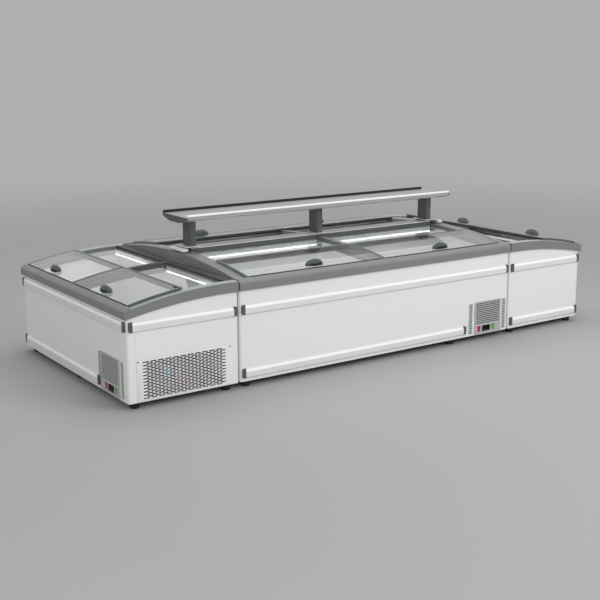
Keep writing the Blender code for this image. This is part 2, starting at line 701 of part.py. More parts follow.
def centre_frame(mat):
    """Grey frame over the centre cabinet: end arches, front and rear rims, mullion and ridge beam."""
    bm = bmesh.new()
    rim = rim_outline(CENTRE_AXIS, CENTRE_RADIUS, CENTRE_UNDER_AXIS, CENTRE_UNDER, -HALF_W, 1)
    edge = arc_angle(CENTRE_AXIS, CENTRE_RADIUS, HALF_W - RIM_STOP_IN)
    top = arc_points(CENTRE_AXIS, CENTRE_RADIUS, -edge, edge, CENTRE_STEPS)[1:-1]
    foot = arc_angle(CENTRE_UNDER_AXIS, CENTRE_UNDER, HALF_W)
    under = arc_points(CENTRE_UNDER_AXIS, CENTRE_UNDER, foot, -foot, CENTRE_STEPS)
    rear = [(-y, z) for y, z in rim][::-1]
    add_prism(bm, rim + top + rear + under, "X", -HALF_L, HALF_L)
    obj = make_object("centre_top_frame", bm, mat)
    beam = bmesh.new()
    reach = HALF_L - CENTRE_RAIL
    low = (-reach, -RIDGE_HALF, CENTRE_CROWN - RIDGE_RISE)
    add_box(beam, low, (reach, RIDGE_HALF, CENTRE_CROWN + RIDGE_RISE))
    combine(obj, beam, "UNION")
    recess = bmesh.new()
    through = bmesh.new()
    inner = RIDGE_HALF + RIDGE_SHOULDER
    for start, end in ((-HALF_L + CENTRE_RAIL, -MULLION_HALF), (MULLION_HALF, HALF_L - CENTRE_RAIL)):
        for sign in (-1, 1):
            span = sorted((sign * (HALF_W - RIM_WIDTH), sign * inner))
            outline = arch_band(CENTRE_AXIS, CENTRE_RADIUS, -LEDGE_DROP, RIM_WIDTH, *span, END_STEPS)
            add_prism(recess, outline, "X", start, end)
            span = sorted((sign * (HALF_W - RIM_WIDTH), sign * (inner + LEDGE_WIDTH)))
            outline = arch_band(CENTRE_AXIS, CENTRE_RADIUS, -RIM_HEIGHT - CUT_PAST, RIM_WIDTH, *span,
                                END_STEPS)
            add_prism(through, outline, "X", start + LEDGE_WIDTH, end - LEDGE_WIDTH)
    combine(obj, recess, "DIFFERENCE")
    combine(obj, through, "DIFFERENCE")
    return obj


def centre_lids(mats):
    """Four bays; the rear pair are the front pair turned half round."""
    first = -HALF_W + RIM_STOP_IN + FIT
    last = first + CENTRE_LID_LENGTH
    level = LID_RISE + GLASS + FIT
    for row, turn in (("front", 0.0), ("rear", HALF_TURN)):
        for bay, sign in (("left", -1), ("right", 1)):
            spans = sorted((sign * (HALF_L - CENTRE_RAIL + LID_INSET), sign * (MULLION_HALF - LID_INSET)))
            recess = sorted((sign * (HALF_L - CENTRE_RAIL - SEAT), sign * (MULLION_HALF + SEAT)))
            name = "centre_" + row + "_" + seen_name(bay, turn)
            origin = (sum(spans) / 2, CENTRE_AXIS[0], CENTRE_AXIS[1])
            seal = (last - LID_SEAL, last)
            shape = lid_shape(CENTRE_AXIS, CENTRE_RADIUS, "X", first, last, seal, *spans, *recess)
            build_lid(name + "_lid", shape, origin, turn, mats["glass"])
            bm = bmesh.new()
            outline = arch_band(CENTRE_AXIS, CENTRE_RADIUS, FIT - LEDGE_DROP, FIT - LEDGE_DROP + GLASS,
                                last - LID_OVERLAP, -RIDGE_HALF - RIDGE_SHOULDER - SEAT / 2, LID_STEPS)
            add_prism(bm, outline, "X", recess[0] - SEAT / 2, recess[1] + SEAT / 2)
            make_object(name + "_pane", bm, mats["glass"], turn=turn, smooth=True)
            place_y = -HALF_W + RIM_STOP_IN + HANDLE_IN
            tilt = arc_angle(CENTRE_AXIS, CENTRE_RADIUS, place_y)
            height = arch_height(CENTRE_AXIS, CENTRE_RADIUS, place_y, level)
            place = Matrix.Translation((origin[0], place_y, height)) @ Matrix.Rotation(-tilt, 4, "X")
            build_handle(name + "_handle", place, origin, turn, mats["handle"])


# Shelf above the ridge

def shelf(mat):
    """Long shelf with a flat top between a front trim and a rear lip, and a bellied underside."""
    edge = SHELF_TOP - SHELF_EDGE
    reach = SHELF_HALF_DEPTH - SHELF_FLAT_HALF
    steps = [i / 6 for i in range(1, 7)]
    belly = [(-SHELF_HALF_DEPTH + reach * t, SHELF_UNDER + (edge - SHELF_UNDER) * (1 - t) ** SHELF_BELLY)
             for t in steps]
    crest = SHELF_TOP + SHELF_LIP
    front = [(-SHELF_HALF_DEPTH + SHELF_TRIM, SHELF_TOP), (-SHELF_HALF_DEPTH + SHELF_TRIM * 0.8, crest),
             (-SHELF_HALF_DEPTH, crest), (-SHELF_HALF_DEPTH, edge)]
    outline = front + belly
    outline += [(-y, z) for y, z in outline][::-1]
    bm = bmesh.new()
    add_prism(bm, outline, "X", -SHELF_HALF_LENGTH, SHELF_HALF_LENGTH)
    return make_object("shelf", bm, mat, smooth=True)


def posts(mat):
    """Box-section posts from the ridge beam up to the shelf, with rounded corners."""
    inner = (POST_HALF_THICK - POST_ROUND, POST_HALF_DEPTH - POST_ROUND)
    angles = [math.pi / 2 * i / 4 for i in range(5)]
    corner = [(inner[0] + POST_ROUND * math.cos(a), inner[1] + POST_ROUND * math.sin(a)) for a in angles]
    half = corner + [(-px, py) for px, py in corner[::-1]]
    section = half + [(-px, -py) for px, py in half]
    for name, x in (("left", -POST_X), ("middle", 0.0), ("right", POST_X)):
        outline = [(x + px, py) for px, py in section]
        bm = bmesh.new()
        add_prism(bm, outline, "Z", CENTRE_CROWN + RIDGE_RISE + FIT, SHELF_UNDER - FIT)
        make_object("shelf_post_" + name, bm, mat, smooth=True)


# Assembly

def end_unit(side, turn, mats):
    cabinet = end_cabinet(side, turn, mats["white"])
    middle = (LEFT_OUT + LEFT_IN) / 2
    spans = {
        "long": ("Y", LEFT_OUT, -1, (-HALF_W + BUMPER_END, HALF_W - BUMPER_END)),
        "low": ("Y", LEFT_OUT, -1, (-HALF_W + BUMPER_PANEL_END, HALF_W - BUMPER_END)),
        "bay": ("X", -HALF_W, -1, (LEFT_OUT + BUMPER_END, LEFT_IN - BUMPER_END)),
        "plain": ("X", HALF_W, 1, (LEFT_OUT + BUMPER_END, LEFT_IN - BUMPER_END)),
    }
    rails = [("outer_upper", "long", BUMPER_UPPER), ("outer_lower", "low", BUMPER_LOWER),
             ("bay_end_upper", "bay", BUMPER_UPPER), ("plain_end_upper", "plain", BUMPER_UPPER),
             ("plain_end_lower", "plain", BUMPER_LOWER)]
    own_node = {"left": ("long", "low", "bay"), "right": ("plain",)}[side]
    for label, kind, height in rails:
        along, face, out, (start, end) = spans[kind]
        if kind in own_node:
            bumper(side + "_bumper_" + label, face, out, height, along, start, end, mats["white"], turn)
        else:
            fuse_bumper(cabinet, face, out, height, along, start, end)
    low = (LEFT_OUT + BASE_INSET, -HALF_W + BASE_INSET)
    high = (LEFT_IN - BASE_INSET, HALF_W - BASE_INSET)
    feet = [(x, y) for x in (LEFT_OUT + END_FOOT_OUTER, LEFT_IN - END_FOOT_INNER)
            for y in (-HALF_W + FOOT_IN, 0.0, HALF_W - FOOT_IN)]
    air_y = (-HALF_W + FOOT_IN + 2 * AIR_GAP, -HALF_W + FOOT_IN + 2 * AIR_GAP + END_AIR[1])
    beside = UNIT_WIDTH / 2 + AIR_GAP
    air = [((middle - beside - END_AIR[0], middle - beside), air_y),
           ((middle + beside, middle + beside + END_AIR[0]), air_y)]
    base_plate(side + "_base", low, high, feet, air, mats["black"], turn)
    end_frame(side, turn, mats["grey"])
    end_lids(side, turn, mats)
    position = (LEFT_OUT, -HALF_W + END_PANEL_MIDDLE, 0)
    control_group(side, position, -math.pi / 2, turn, END_SWITCHES, mats)
    condensing_unit(side, middle, turn, mats["machine"])
    fan(side, middle, turn, mats["fan"])


def centre_unit(mats):
    cabinet = centre_cabinet(mats["white"])
    span = (-HALF_L + BUMPER_END, HALF_L - BUMPER_END)
    low_span = (span[0], HALF_L - CENTRE_BUMPER_PANEL_END)
    bumper("centre_bumper_front_upper", -HALF_W, -1, BUMPER_UPPER, "X", *span, mats["white"])
    bumper("centre_bumper_front_lower", -HALF_W, -1, BUMPER_LOWER, "X", *low_span, mats["white"])
    fuse_bumper(cabinet, HALF_W, 1, BUMPER_UPPER, "X", *span)
    fuse_bumper(cabinet, HALF_W, 1, BUMPER_LOWER, "X", *span)
    low = (-HALF_L + BASE_INSET, -HALF_W + BASE_INSET)
    high = (HALF_L - BASE_INSET, HALF_W - BASE_INSET)
    feet = [(x, y) for x in (-HALF_L + CENTRE_FOOT_LEFT, HALF_L - CENTRE_FOOT_BAY)
            for y in (-HALF_W + FOOT_IN, HALF_W - FOOT_IN)]
    feet += [(HALF_L - CENTRE_FOOT_RIGHT, y) for y in (-HALF_W / 2, HALF_W / 2)]
    air_x = HALF_L - BAY_LENGTH + AIR_GAP
    air_y = -HALF_W + CENTRE_BAY_DEPTH - AIR_GAP
    air = [((air_x, air_x + CENTRE_AIR[0]), (air_y - CENTRE_AIR[1], air_y))]
    base_plate("centre_base", low, high, feet, air, mats["black"])
    centre_frame(mats["grey"])
    centre_lids(mats)
    control_group("centre", (HALF_L - CENTRE_PANEL_MIDDLE, -HALF_W, 0), 0.0, 0.0, CENTRE_SWITCHES, mats)
    machine_middle = HALF_L - BAY_LENGTH / 2 - SKIN / 2
    condensing_unit("centre", machine_middle, 0.0, mats["machine"])
    fan("centre", machine_middle, 0.0, mats["fan"])


def main():
    clear_scene()
    mats = {
        "white": material("white coated steel", (0.80, 0.80, 0.79), 0.35),
        "grey": material("grey plastic", (0.20, 0.21, 0.21), 0.45),
        "glass": material("clear glass", (0.75, 0.80, 0.79), 0.05),
        "handle": material("charcoal plastic", (0.06, 0.065, 0.068), 0.45),
        "black": material("black steel", (0.015, 0.015, 0.016), 0.5),
        "panel": material("louvre grey plastic", (0.24, 0.25, 0.25), 0.5),
        "red": material("red switch plastic", (0.45, 0.02, 0.02), 0.35),
        "green": material("green switch plastic", (0.12, 0.35, 0.03), 0.35),
        "machine": material("black enamelled machinery", (0.03, 0.03, 0.032), 0.5, 0.3),
        "fan": material("fan aluminium", (0.55, 0.56, 0.57), 0.4, 0.9),
        "shelf": material("light grey coated steel", (0.55, 0.55, 0.55), 0.4),
        "post": material("dark grey coated steel", (0.075, 0.075, 0.078), 0.45),
    }
    end_unit("left", 0.0, mats)
    grille_panel(mats["white"])
    centre_unit(mats)
    end_unit("right", HALF_TURN, mats)
    posts(mats["post"])
    shelf(mats["shelf"])
    bpy.context.view_layer.update()


main()
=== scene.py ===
import json
import math

import bpy
from mathutils import Matrix, Vector


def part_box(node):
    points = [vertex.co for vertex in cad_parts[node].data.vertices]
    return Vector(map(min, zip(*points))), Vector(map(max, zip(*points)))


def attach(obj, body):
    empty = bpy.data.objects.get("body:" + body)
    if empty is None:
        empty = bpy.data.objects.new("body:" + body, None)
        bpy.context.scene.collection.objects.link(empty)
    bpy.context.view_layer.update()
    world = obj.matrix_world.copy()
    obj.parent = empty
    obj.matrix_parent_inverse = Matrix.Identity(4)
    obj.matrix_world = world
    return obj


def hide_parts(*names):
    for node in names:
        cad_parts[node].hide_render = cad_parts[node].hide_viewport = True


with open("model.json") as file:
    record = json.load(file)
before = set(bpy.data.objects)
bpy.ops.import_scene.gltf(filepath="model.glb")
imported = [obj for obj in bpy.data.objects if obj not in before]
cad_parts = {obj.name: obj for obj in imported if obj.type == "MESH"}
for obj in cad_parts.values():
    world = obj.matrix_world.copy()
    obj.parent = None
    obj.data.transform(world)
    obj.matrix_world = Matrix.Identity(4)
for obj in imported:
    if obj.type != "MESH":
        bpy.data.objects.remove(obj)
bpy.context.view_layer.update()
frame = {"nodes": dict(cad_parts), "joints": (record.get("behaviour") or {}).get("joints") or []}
solids = frame["nodes"]


# Base plates and feet: a black painted steel plate is screwed under each cabinet, with air openings
# punched under its machine bay, and round levelling feet are threaded into the plate.

def pick(piece):
    bpy.ops.object.select_all(action="DESELECT")
    piece.select_set(True)
    bpy.context.view_layer.objects.active = piece


def edit_all(piece):
    """Open a piece for editing with all of it selected."""
    pick(piece)
    bpy.ops.object.mode_set(mode="EDIT")
    bpy.ops.mesh.select_all(action="SELECT")


def finish_edit():
    bpy.ops.object.mode_set(mode="OBJECT")


def apply_modifier(piece, kind, **settings):
    modifier = piece.modifiers.new(kind, kind)
    for key, value in settings.items():
        setattr(modifier, key, value)
    pick(piece)
    bpy.ops.object.modifier_apply(modifier=modifier.name)


def soften(piece, width, segments=2, angle=35):
    """Round a piece's edges by a small radius and shade its curves smooth."""
    apply_modifier(piece, "BEVEL", width=width, segments=segments, limit_method="ANGLE",
                   angle_limit=math.radians(angle))
    pick(piece)
    bpy.ops.object.shade_smooth_by_angle(angle=math.radians(angle))
    apply_modifier(piece, "WEIGHTED_NORMAL", keep_sharp=True)


def copy_solid(node):
    """A copy of a solid's mesh with its triangles joined up and its flat faces made whole."""
    piece = bpy.data.objects.new(node + "_shown", solids[node].data.copy())
    bpy.context.scene.collection.objects.link(piece)
    pick(piece)
    bpy.ops.mesh.customdata_custom_splitnormals_clear()
    edit_all(piece)
    bpy.ops.mesh.remove_doubles(threshold=0.00002)
    bpy.ops.mesh.dissolve_limited(angle_limit=math.radians(0.4))
    finish_edit()
    return piece


def dress(piece, material, body, slot, *nodes):
    """Give a piece its material and its body, and name the solids that it stands for; its slot is not used.
    """
    piece.data.materials.clear()
    piece.data.materials.append(material)
    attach(piece, body)
    if nodes:
        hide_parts(*nodes)


def linear(code):
    """sRGB hex to the linear colour that a shader takes."""
    parts = [int(code[i:i + 2], 16) / 255 for i in (1, 3, 5)]
    parts = [c / 12.92 if c <= 0.04045 else ((c + 0.055) / 1.055) ** 2.4 for c in parts]
    return (*parts, 1.0)


def set_sockets(material, node, inputs):
    for socket, value in inputs.items():
        if isinstance(value, bpy.types.NodeSocket):
            material.node_tree.links.new(value, node.inputs[socket])
        else:
            node.inputs[socket].default_value = value


def add_node(material, kind, inputs, **settings):
    """Add a node with its settings, and set or link its sockets."""
    node = material.node_tree.nodes.new("ShaderNode" + kind)
    for key, value in settings.items():
        setattr(node, key, value)
    set_sockets(material, node, inputs)
    return node


def shade(material, inputs):
    """Set or link the sockets of a material's surface shader."""
    set_sockets(material, material.node_tree.nodes["Principled BSDF"], inputs)


def new_finish(name):
    """A material, and the place on a piece that its patterns follow."""
    material = bpy.data.materials.new(name)
    material.use_nodes = True
    return material, add_node(material, "TexCoord", {}).outputs["Object"]


def painted_steel(name, colour, other, roughness, peel=0.004):
    """Baked powder coat on steel sheet: an even satin colour with a faint cloud, and a fine orange peel
    that breaks up the reflections. The peel is drawn a little coarser than the real 2 mm, to show."""
    material, place = new_finish(name)
    cloud = add_node(material, "TexNoise", {"Vector": place, "Scale": 2.5, "Detail": 4.0})
    tone = add_node(material, "MixRGB", {"Fac": cloud.outputs["Fac"], "Color1": linear(colour),
                                         "Color2": linear(other)})
    rubbed = add_node(material, "TexNoise", {"Vector": place, "Scale": 14.0, "Detail": 5.0})
    sheen = add_node(material, "MapRange", {"Value": rubbed.outputs["Fac"], "From Min": 0.3, "From Max": 0.7,
                                            "To Min": roughness - 0.05, "To Max": roughness + 0.07})
    skin = add_node(material, "TexNoise", {"Vector": place, "Scale": 1 / peel, "Detail": 1.0})
    relief = add_node(material, "Bump", {"Height": skin.outputs["Fac"], "Strength": 0.08, "Distance": 0.0004})
    shade(material, {"Base Color": tone.outputs["Color"], "Roughness": sheen.outputs["Result"],
                     "Normal": relief.outputs["Normal"], "IOR": 1.5})
    return material


black_steel = painted_steel("black_painted_steel", "#1c1d1e", "#141516", 0.45)
for side in ("left", "centre", "right"):
    plate = copy_solid(side + "_base")
    soften(plate, 0.0012)
    dress(plate, black_steel, "island", "black_steel", side + "_base")


# Cabinets: a white coated steel skin folded round foam, with a seamless white liner inside. The skin's
# upright corners are rolled to a soft radius, once the stray edges that end on them are cleared.

def select_edges(piece, test):
    """Select the edges whose middle and run pass a test, in edit mode."""
    edit_all(piece)
    bpy.ops.mesh.select_mode(type="EDGE")
    bpy.ops.mesh.select_all(action="DESELECT")
    finish_edit()
    points = piece.data.vertices
    for edge in piece.data.edges:
        a, b = (points[i].co for i in edge.vertices)
        edge.select = test((a + b) / 2, b - a)
    bpy.ops.object.mode_set(mode="EDIT")


def round_edges(piece, test, width, segments):
    """Bevel the edges whose middle and run pass a test."""
    select_edges(piece, test)
    bpy.ops.mesh.bevel(offset=width, segments=segments, affect="EDGES")
    finish_edit()


def slice_at(piece, at, facing, **settings):
    """Cut a piece's faces along a plane."""
    edit_all(piece)
    bpy.ops.mesh.bisect(plane_co=at, plane_no=facing, **settings)
    finish_edit()


def cut_out(piece, cutter):
    """Take the shape of a cutter out of a piece."""
    apply_modifier(piece, "BOOLEAN", object=cutter, operation="DIFFERENCE", solver="EXACT")
    bpy.data.objects.remove(cutter)


def settle(name):
    """Name the primitive just added, and take its place and size into its mesh."""
    bpy.ops.object.transform_apply(location=True, rotation=True, scale=True)
    piece = bpy.context.object
    piece.name = name
    return piece


def block(name, low, high):
    """A box between two corners."""
    low, high = Vector(low), Vector(high)
    bpy.ops.object.select_all(action="DESELECT")
    bpy.ops.mesh.primitive_cube_add(size=1, location=(low + high) / 2, scale=high - low)
    return settle(name)


def off_corner(place, walls):
    """How far a place lies from the nearest upright corner of the outer walls."""
    return max(min(abs(place[axis] - wall) for wall in walls[axis]) for axis in (0, 1))


white_steel = painted_steel("white_coated_steel", "#eeeeee", "#e8e8e8", 0.34)
corner_radius = 0.017
corner_strip = corner_radius + 0.001
base_inset, skirt_top = 0.020, 0.400
hair, near_corner, corner_run = 0.0005, 0.002, 0.004
sheet_lap, mouth_deep, mouth_past = 0.006, 0.040, 0.010
for side in ("left", "centre", "right"):
    cabinet = copy_solid(side + "_cabinet")
    if side == "right":
        low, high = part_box("left_grille_panel")
        mouth = block("mouth", (-high.x + sheet_lap, -high.y - mouth_deep, low.z + sheet_lap),
                      (-low.x - sheet_lap, -low.y + mouth_past, high.z - sheet_lap))
        cut_out(cabinet, mouth)
    low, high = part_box(side + "_base")
    walls = [(low[axis] - base_inset, high[axis] + base_inset) for axis in (0, 1)]
    for axis in (0, 1):
        for wall, inward in zip(walls[axis], (corner_strip, -corner_strip)):
            at, facing = Vector(), Vector()
            at[axis], facing[axis] = wall + inward, 1
            slice_at(cabinet, at, facing)
    select_edges(cabinet, lambda middle, run: off_corner(middle, walls) < corner_strip
                 and middle.z < skirt_top and abs(run.z) > hair and abs(run.x) + abs(run.y) > hair)
    bpy.ops.mesh.dissolve_edges(use_verts=False)
    finish_edit()
    round_edges(cabinet, lambda middle, run: off_corner(middle, walls) < near_corner
                and abs(run.z) > corner_run and abs(run.x) + abs(run.y) < 2 * hair, corner_radius, 6)
    soften(cabinet, 0.0015)
    dress(cabinet, white_steel, "island", "white_wall", side + "_cabinet")


# Condensing units: a galvanised tray carries the finned coil, the fan motor on its bracket and the
# compressor. The fins are pressed aluminium on copper hairpins; the compressor pot is black enamelled steel,
# and a teal start box and a copper filter drier hang in front of the coil.

def join(pieces, name):
    bpy.ops.object.select_all(action="DESELECT")
    for piece in pieces:
        piece.select_set(True)
    bpy.context.view_layer.objects.active = pieces[0]
    bpy.ops.object.join()
    pieces[0].name = name
    return pieces[0]


def copy_piece(piece, name, move):
    """Another of the same piece, with a mesh of its own moved to its place."""
    other = bpy.data.objects.new(name, piece.data.copy())
    other.data.transform(move)
    bpy.context.scene.collection.objects.link(other)
    return other


def repeat(piece, count, step, **settings):
    """Lay out a row of a piece, as one mesh."""
    apply_modifier(piece, "ARRAY", count=count, use_relative_offset=False, use_constant_offset=True,
                   constant_offset_displace=step, **settings)


def drum(name, radius, length, middle, vertices, lying=False):
    """A round bar about its middle, upright or lying along Y."""
    bpy.ops.object.select_all(action="DESELECT")
    bpy.ops.mesh.primitive_cylinder_add(vertices=vertices, radius=radius, depth=length, location=middle,
                                        rotation=(math.pi / 2 if lying else 0, 0, 0))
    return settle(name)


def face_outward(piece):
    """Turn the faces of a closed piece outwards."""
    edit_all(piece)
    bpy.ops.mesh.normals_make_consistent(inside=False)
    finish_edit()


def bare_metal(name, colour, roughness, grain, metallic=1.0):
    """Mill-finished metal: a bright skin with fine drawn streaks along it and dull, handled patches."""
    material, place = new_finish(name)
    drawn = add_node(material, "Mapping", {"Vector": place, "Scale": grain})
    streak = add_node(material, "TexNoise", {"Vector": drawn.outputs["Vector"], "Scale": 30.0, "Detail": 4.0})
    dull = add_node(material, "MapRange", {"Value": streak.outputs["Fac"], "To Min": roughness - 0.12,
                                           "To Max": roughness + 0.15})
    patch = add_node(material, "TexNoise", {"Vector": place, "Scale": 9.0, "Detail": 3.0})
    tone = add_node(material, "HueSaturation", {"Color": linear(colour), "Value": 1.0})
    spread = add_node(material, "MapRange", {"Value": patch.outputs["Fac"], "To Min": 0.85, "To Max": 1.12})
    material.node_tree.links.new(spread.outputs["Result"], tone.inputs["Value"])
    relief = add_node(material, "Bump", {"Height": streak.outputs["Fac"], "Strength": 0.1,
                                         "Distance": 0.0003})
    shade(material, {"Base Color": tone.outputs["Color"], "Roughness": dull.outputs["Result"],
                     "Metallic": metallic, "Normal": relief.outputs["Normal"]})
    return material


galvanised = bare_metal("galvanised_steel", "#a9adae", 0.45, (1, 1, 1))
fin_aluminium = bare_metal("dusty_fin_aluminium", "#8d857e", 0.55, (1, 1, 8), 0.5)
copper = bare_metal("drawn_copper_pipe", "#b5714a", 0.35, (1, 6, 1))
black_enamel = painted_steel("black_enamel", "#232527", "#191b1c", 0.28)
teal_enamel = painted_steel("teal_enamel", "#3f9aa0", "#378d94", 0.3)
half_turn = Matrix.Rotation(math.pi, 4, "Z")

low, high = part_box("left_condensing_unit")
middle = (low.x + high.x) / 2
coil_back, coil_top = low.y + 0.050, high.z
tray_thick, plate_thick = 0.006, 0.0015
tray = block("tray", low, (high.x, high.y, low.z + tray_thick))
soften(tray, 0.001)
plates = []
for x in (low.x, high.x - plate_thick):
    plates.append(block("plate", (x, low.y, low.z + tray_thick), (x + plate_thick, coil_back, coil_top)))
chassis = join([tray] + plates, "chassis")

fin_pitch, fin_thick, fin_edge = 0.004, 0.0006, 0.003
fins = block("fins", (low.x + fin_edge, low.y + fin_edge, low.z + 2 * tray_thick),
             (low.x + fin_edge + fin_thick, coil_back - fin_edge, coil_top - 0.004))
repeat(fins, int((high.x - low.x - 2 * fin_edge) / fin_pitch), (fin_pitch, 0, 0))

pipe_radius, bend_radius = 0.0048, 0.013
bend_rows, bend_pitch, bend_low, bend_front = 6, 0.030, 0.035, 0.012
bends = []
for row in range(bend_rows):
    start = Vector((high.x, low.y + bend_front, low.z + bend_low + row * bend_pitch))
    bpy.ops.object.select_all(action="DESELECT")
    bpy.ops.mesh.primitive_circle_add(vertices=10, radius=pipe_radius, location=start,
                                      rotation=(0, math.pi / 2, 0))
    bend = settle("bend")
    edit_all(bend)
    bpy.ops.mesh.spin(steps=8, angle=math.pi, center=start + Vector((0, bend_radius, 0)), axis=(0, 0, 1))
    finish_edit()
    face_outward(bend)
    bends.append(bend)
pot_aside, pot_back = 0.090, 0.255
riser_foot = Vector((middle + pot_aside, low.y + 0.160, low.z + 0.150))
riser_high, riser_turn, riser_run = 0.045, 0.020, 0.082
bpy.ops.object.select_all(action="DESELECT")
bpy.ops.mesh.primitive_circle_add(vertices=10, radius=pipe_radius, location=riser_foot)
pipe = settle("pipe")
edit_all(pipe)
bpy.ops.mesh.extrude_region_move(TRANSFORM_OT_translate={"value": (0, 0, riser_high)})
bpy.ops.mesh.spin(steps=8, angle=math.pi / 2, center=riser_foot + Vector((0, -riser_turn, riser_high)),
                  axis=(-1, 0, 0))
bpy.ops.mesh.extrude_region_move(TRANSFORM_OT_translate={"value": (0, -riser_run, 0)})
finish_edit()
face_outward(pipe)
pipework = join(bends + [pipe], "pipework")
pick(pipework)
bpy.ops.object.shade_smooth_by_angle(angle=math.radians(40))

pot_radius, pot_tall, pot_z = 0.074, 0.168, 0.090
seam_radius, seam_tall, seam_z = 0.078, 0.006, 0.095
motor_radius, motor_long, motor_aside, motor_back, motor_z = 0.035, 0.060, 0.080, 0.1175, 0.165
bracket_half, bracket_front, bracket_back, bracket_drop = 0.015, 0.098, 0.132, 0.025
pot = drum("pot", pot_radius, pot_tall, (middle + pot_aside, low.y + pot_back, low.z + pot_z), 40)
soften(pot, 0.030, 6)
seam = drum("seam", seam_radius, seam_tall, (middle + pot_aside, low.y + pot_back, low.z + seam_z), 40)
soften(seam, 0.002)
motor = drum("motor", motor_radius, motor_long, (middle - motor_aside, low.y + motor_back, motor_z), 32,
             lying=True)
soften(motor, 0.008, 3)
bracket = block("bracket", (middle - motor_aside - bracket_half, low.y + bracket_front, low.z + tray_thick),
                (middle - motor_aside + bracket_half, low.y + bracket_back, motor_z - bracket_drop))
soften(bracket, 0.002)
machines = join([pot, seam, motor, bracket], "machines")

start_box = block("start_box", (middle - 0.140, low.y - 0.034, low.z + 0.123),
                  (middle - 0.092, low.y - 0.004, low.z + 0.203))
soften(start_box, 0.004, 3)
filter_drier = drum("filter_drier", 0.015, 0.135, (middle - 0.027, low.y - 0.020, low.z + 0.110), 28)
soften(filter_drier, 0.010, 5)

centre_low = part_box("centre_condensing_unit")[0]
unit_moves = {"left": Matrix(), "right": half_turn,
              "centre": Matrix.Translation((centre_low.x - low.x, centre_low.y - low.y, 0))}
for side, move in unit_moves.items():
    unit = copy_piece(chassis, side + "_unit_chassis", move)
    dress(unit, galvanised, "island", "machinery", side + "_condensing_unit")
    for part, material in ((fins, fin_aluminium), (pipework, copper), (machines, black_enamel),
                           (start_box, teal_enamel), (filter_drier, copper)):
        dress(copy_piece(part, side + "_unit_" + part.name, move), material, "island", "machinery")
for part in (chassis, fins, pipework, machines, start_box, filter_drier):
    bpy.data.objects.remove(part)


# Condenser fans: five stamped galvanised blades riveted to a pressed hub. The hub sits on the motor's shaft,
# so that the blades turn between the motor and the coil.

for side in ("left", "centre", "right"):
    fan = copy_solid(side + "_fan")
    soften(fan, 0.0006)
    dress(fan, galvanised, side + "_fan", "fan_metal", side + "_fan")


# Perforated panels: white coated sheet punched with staggered slots, held by a screw at each upper corner
# under a plain sheet. The left ones are on the front; the right cabinet's are the same on its rear wall.

slot_size = Vector((0.0440, 0.0085))
slot_pitch = Vector((0.0533, 0.0108))
slot_rows, slot_columns = 23, 11
slots_middle = 0.1853
punch_front, punch_back = 0.004, 0.008
low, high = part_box("left_grille_panel")
sheet = block("sheet", low, high)
soften(sheet, 0.0008)
first_slot = Vector(((low.x + high.x) / 2 - (slot_columns - 0.5) / 2 * slot_pitch.x,
                     slots_middle - (slot_rows - 1) / 2 * slot_pitch.y))
for row in (0, 1):
    at = first_slot + row * Vector((slot_pitch.x / 2, slot_pitch.y)) - slot_size / 2
    punch = block("punch", (at.x, low.y - punch_front, at.y),
                  (at.x + slot_size.x, low.y + punch_back, at.y + slot_size.y))
    round_edges(punch, lambda middle, run: abs(run.y) > 0.010, slot_size.y * 0.35, 2)
    repeat(punch, slot_columns, (slot_pitch.x, 0, 0))
    repeat(punch, slot_rows // 2 + 1 - row, (0, 0, 2 * slot_pitch.y))
    cut_out(sheet, punch)
head_in, head_down = 0.010, 0.012
heads = []
for x in (low.x + head_in, high.x - head_in):
    head = drum("head", 0.0055, 0.003, (x, low.y - 0.0012, high.z - head_down), 20, lying=True)
    soften(head, 0.0009)
    notch = block("notch", (x - 0.004, low.y - 0.004, high.z - head_down - 0.0007),
                  (x + 0.004, low.y - 0.0018, high.z - head_down + 0.0007))
    cut_out(head, notch)
    heads.append(head)
screws = join(heads, "left_panel_screws")
rail_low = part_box("left_bumper_bay_end_upper")[0].z
upper_sheet = block("left_upper_sheet", (low.x, high.y - 0.0016, high.z + 0.002),
                    (high.x, high.y, rail_low - 0.003))
soften(upper_sheet, 0.0006)
dress(copy_piece(upper_sheet, "right_upper_sheet", half_turn), white_steel, "island", "white_sheet")
dress(upper_sheet, white_steel, "island", "white_sheet")
dress(copy_piece(sheet, "right_perforated_sheet", half_turn), white_steel, "island", "white_sheet")
dress(copy_piece(screws, "right_panel_screws", half_turn), galvanised, "island", "white_sheet")
sheet.name = "left_perforated_sheet"
dress(sheet, white_steel, "island", "white_sheet", "left_grille_panel")
dress(screws, galvanised, "island", "white_sheet")


# Control panels: moulded grey ABS louvres over the air inlet, with a black display window and two rockers
# below. They clip into the wall; the vent inserts beside them are white moulded strips with blind slots. The
# slats behind the louvres and the slots' floors are painted near black, as painted shade in the gaps.

def moulded_plastic(name, colour, other, roughness, grain=0.0012, depth=0.0002):
    """Moulded plastic with a spark-eroded grain: an even colour, slightly greyer where it is handled, and a
    fine pebbled skin that spreads the highlights. The grain is drawn coarser than 0.3 mm, to show."""
    material, place = new_finish(name)
    cloud = add_node(material, "TexNoise", {"Vector": place, "Scale": 6.0, "Detail": 3.0})
    tone = add_node(material, "MixRGB", {"Fac": cloud.outputs["Fac"], "Color1": linear(colour),
                                         "Color2": linear(other)})
    pebbles = add_node(material, "TexNoise", {"Vector": place, "Scale": 1 / grain, "Detail": 2.0})
    sheen = add_node(material, "MapRange", {"Value": cloud.outputs["Fac"], "From Min": 0.3, "From Max": 0.7,
                                            "To Min": roughness - 0.06, "To Max": roughness + 0.06})
    relief = add_node(material, "Bump", {"Height": pebbles.outputs["Fac"], "Strength": 0.15,
                                         "Distance": depth})
    shade(material, {"Base Color": tone.outputs["Color"], "Roughness": sheen.outputs["Result"],
                     "Normal": relief.outputs["Normal"], "IOR": 1.53})
    return material


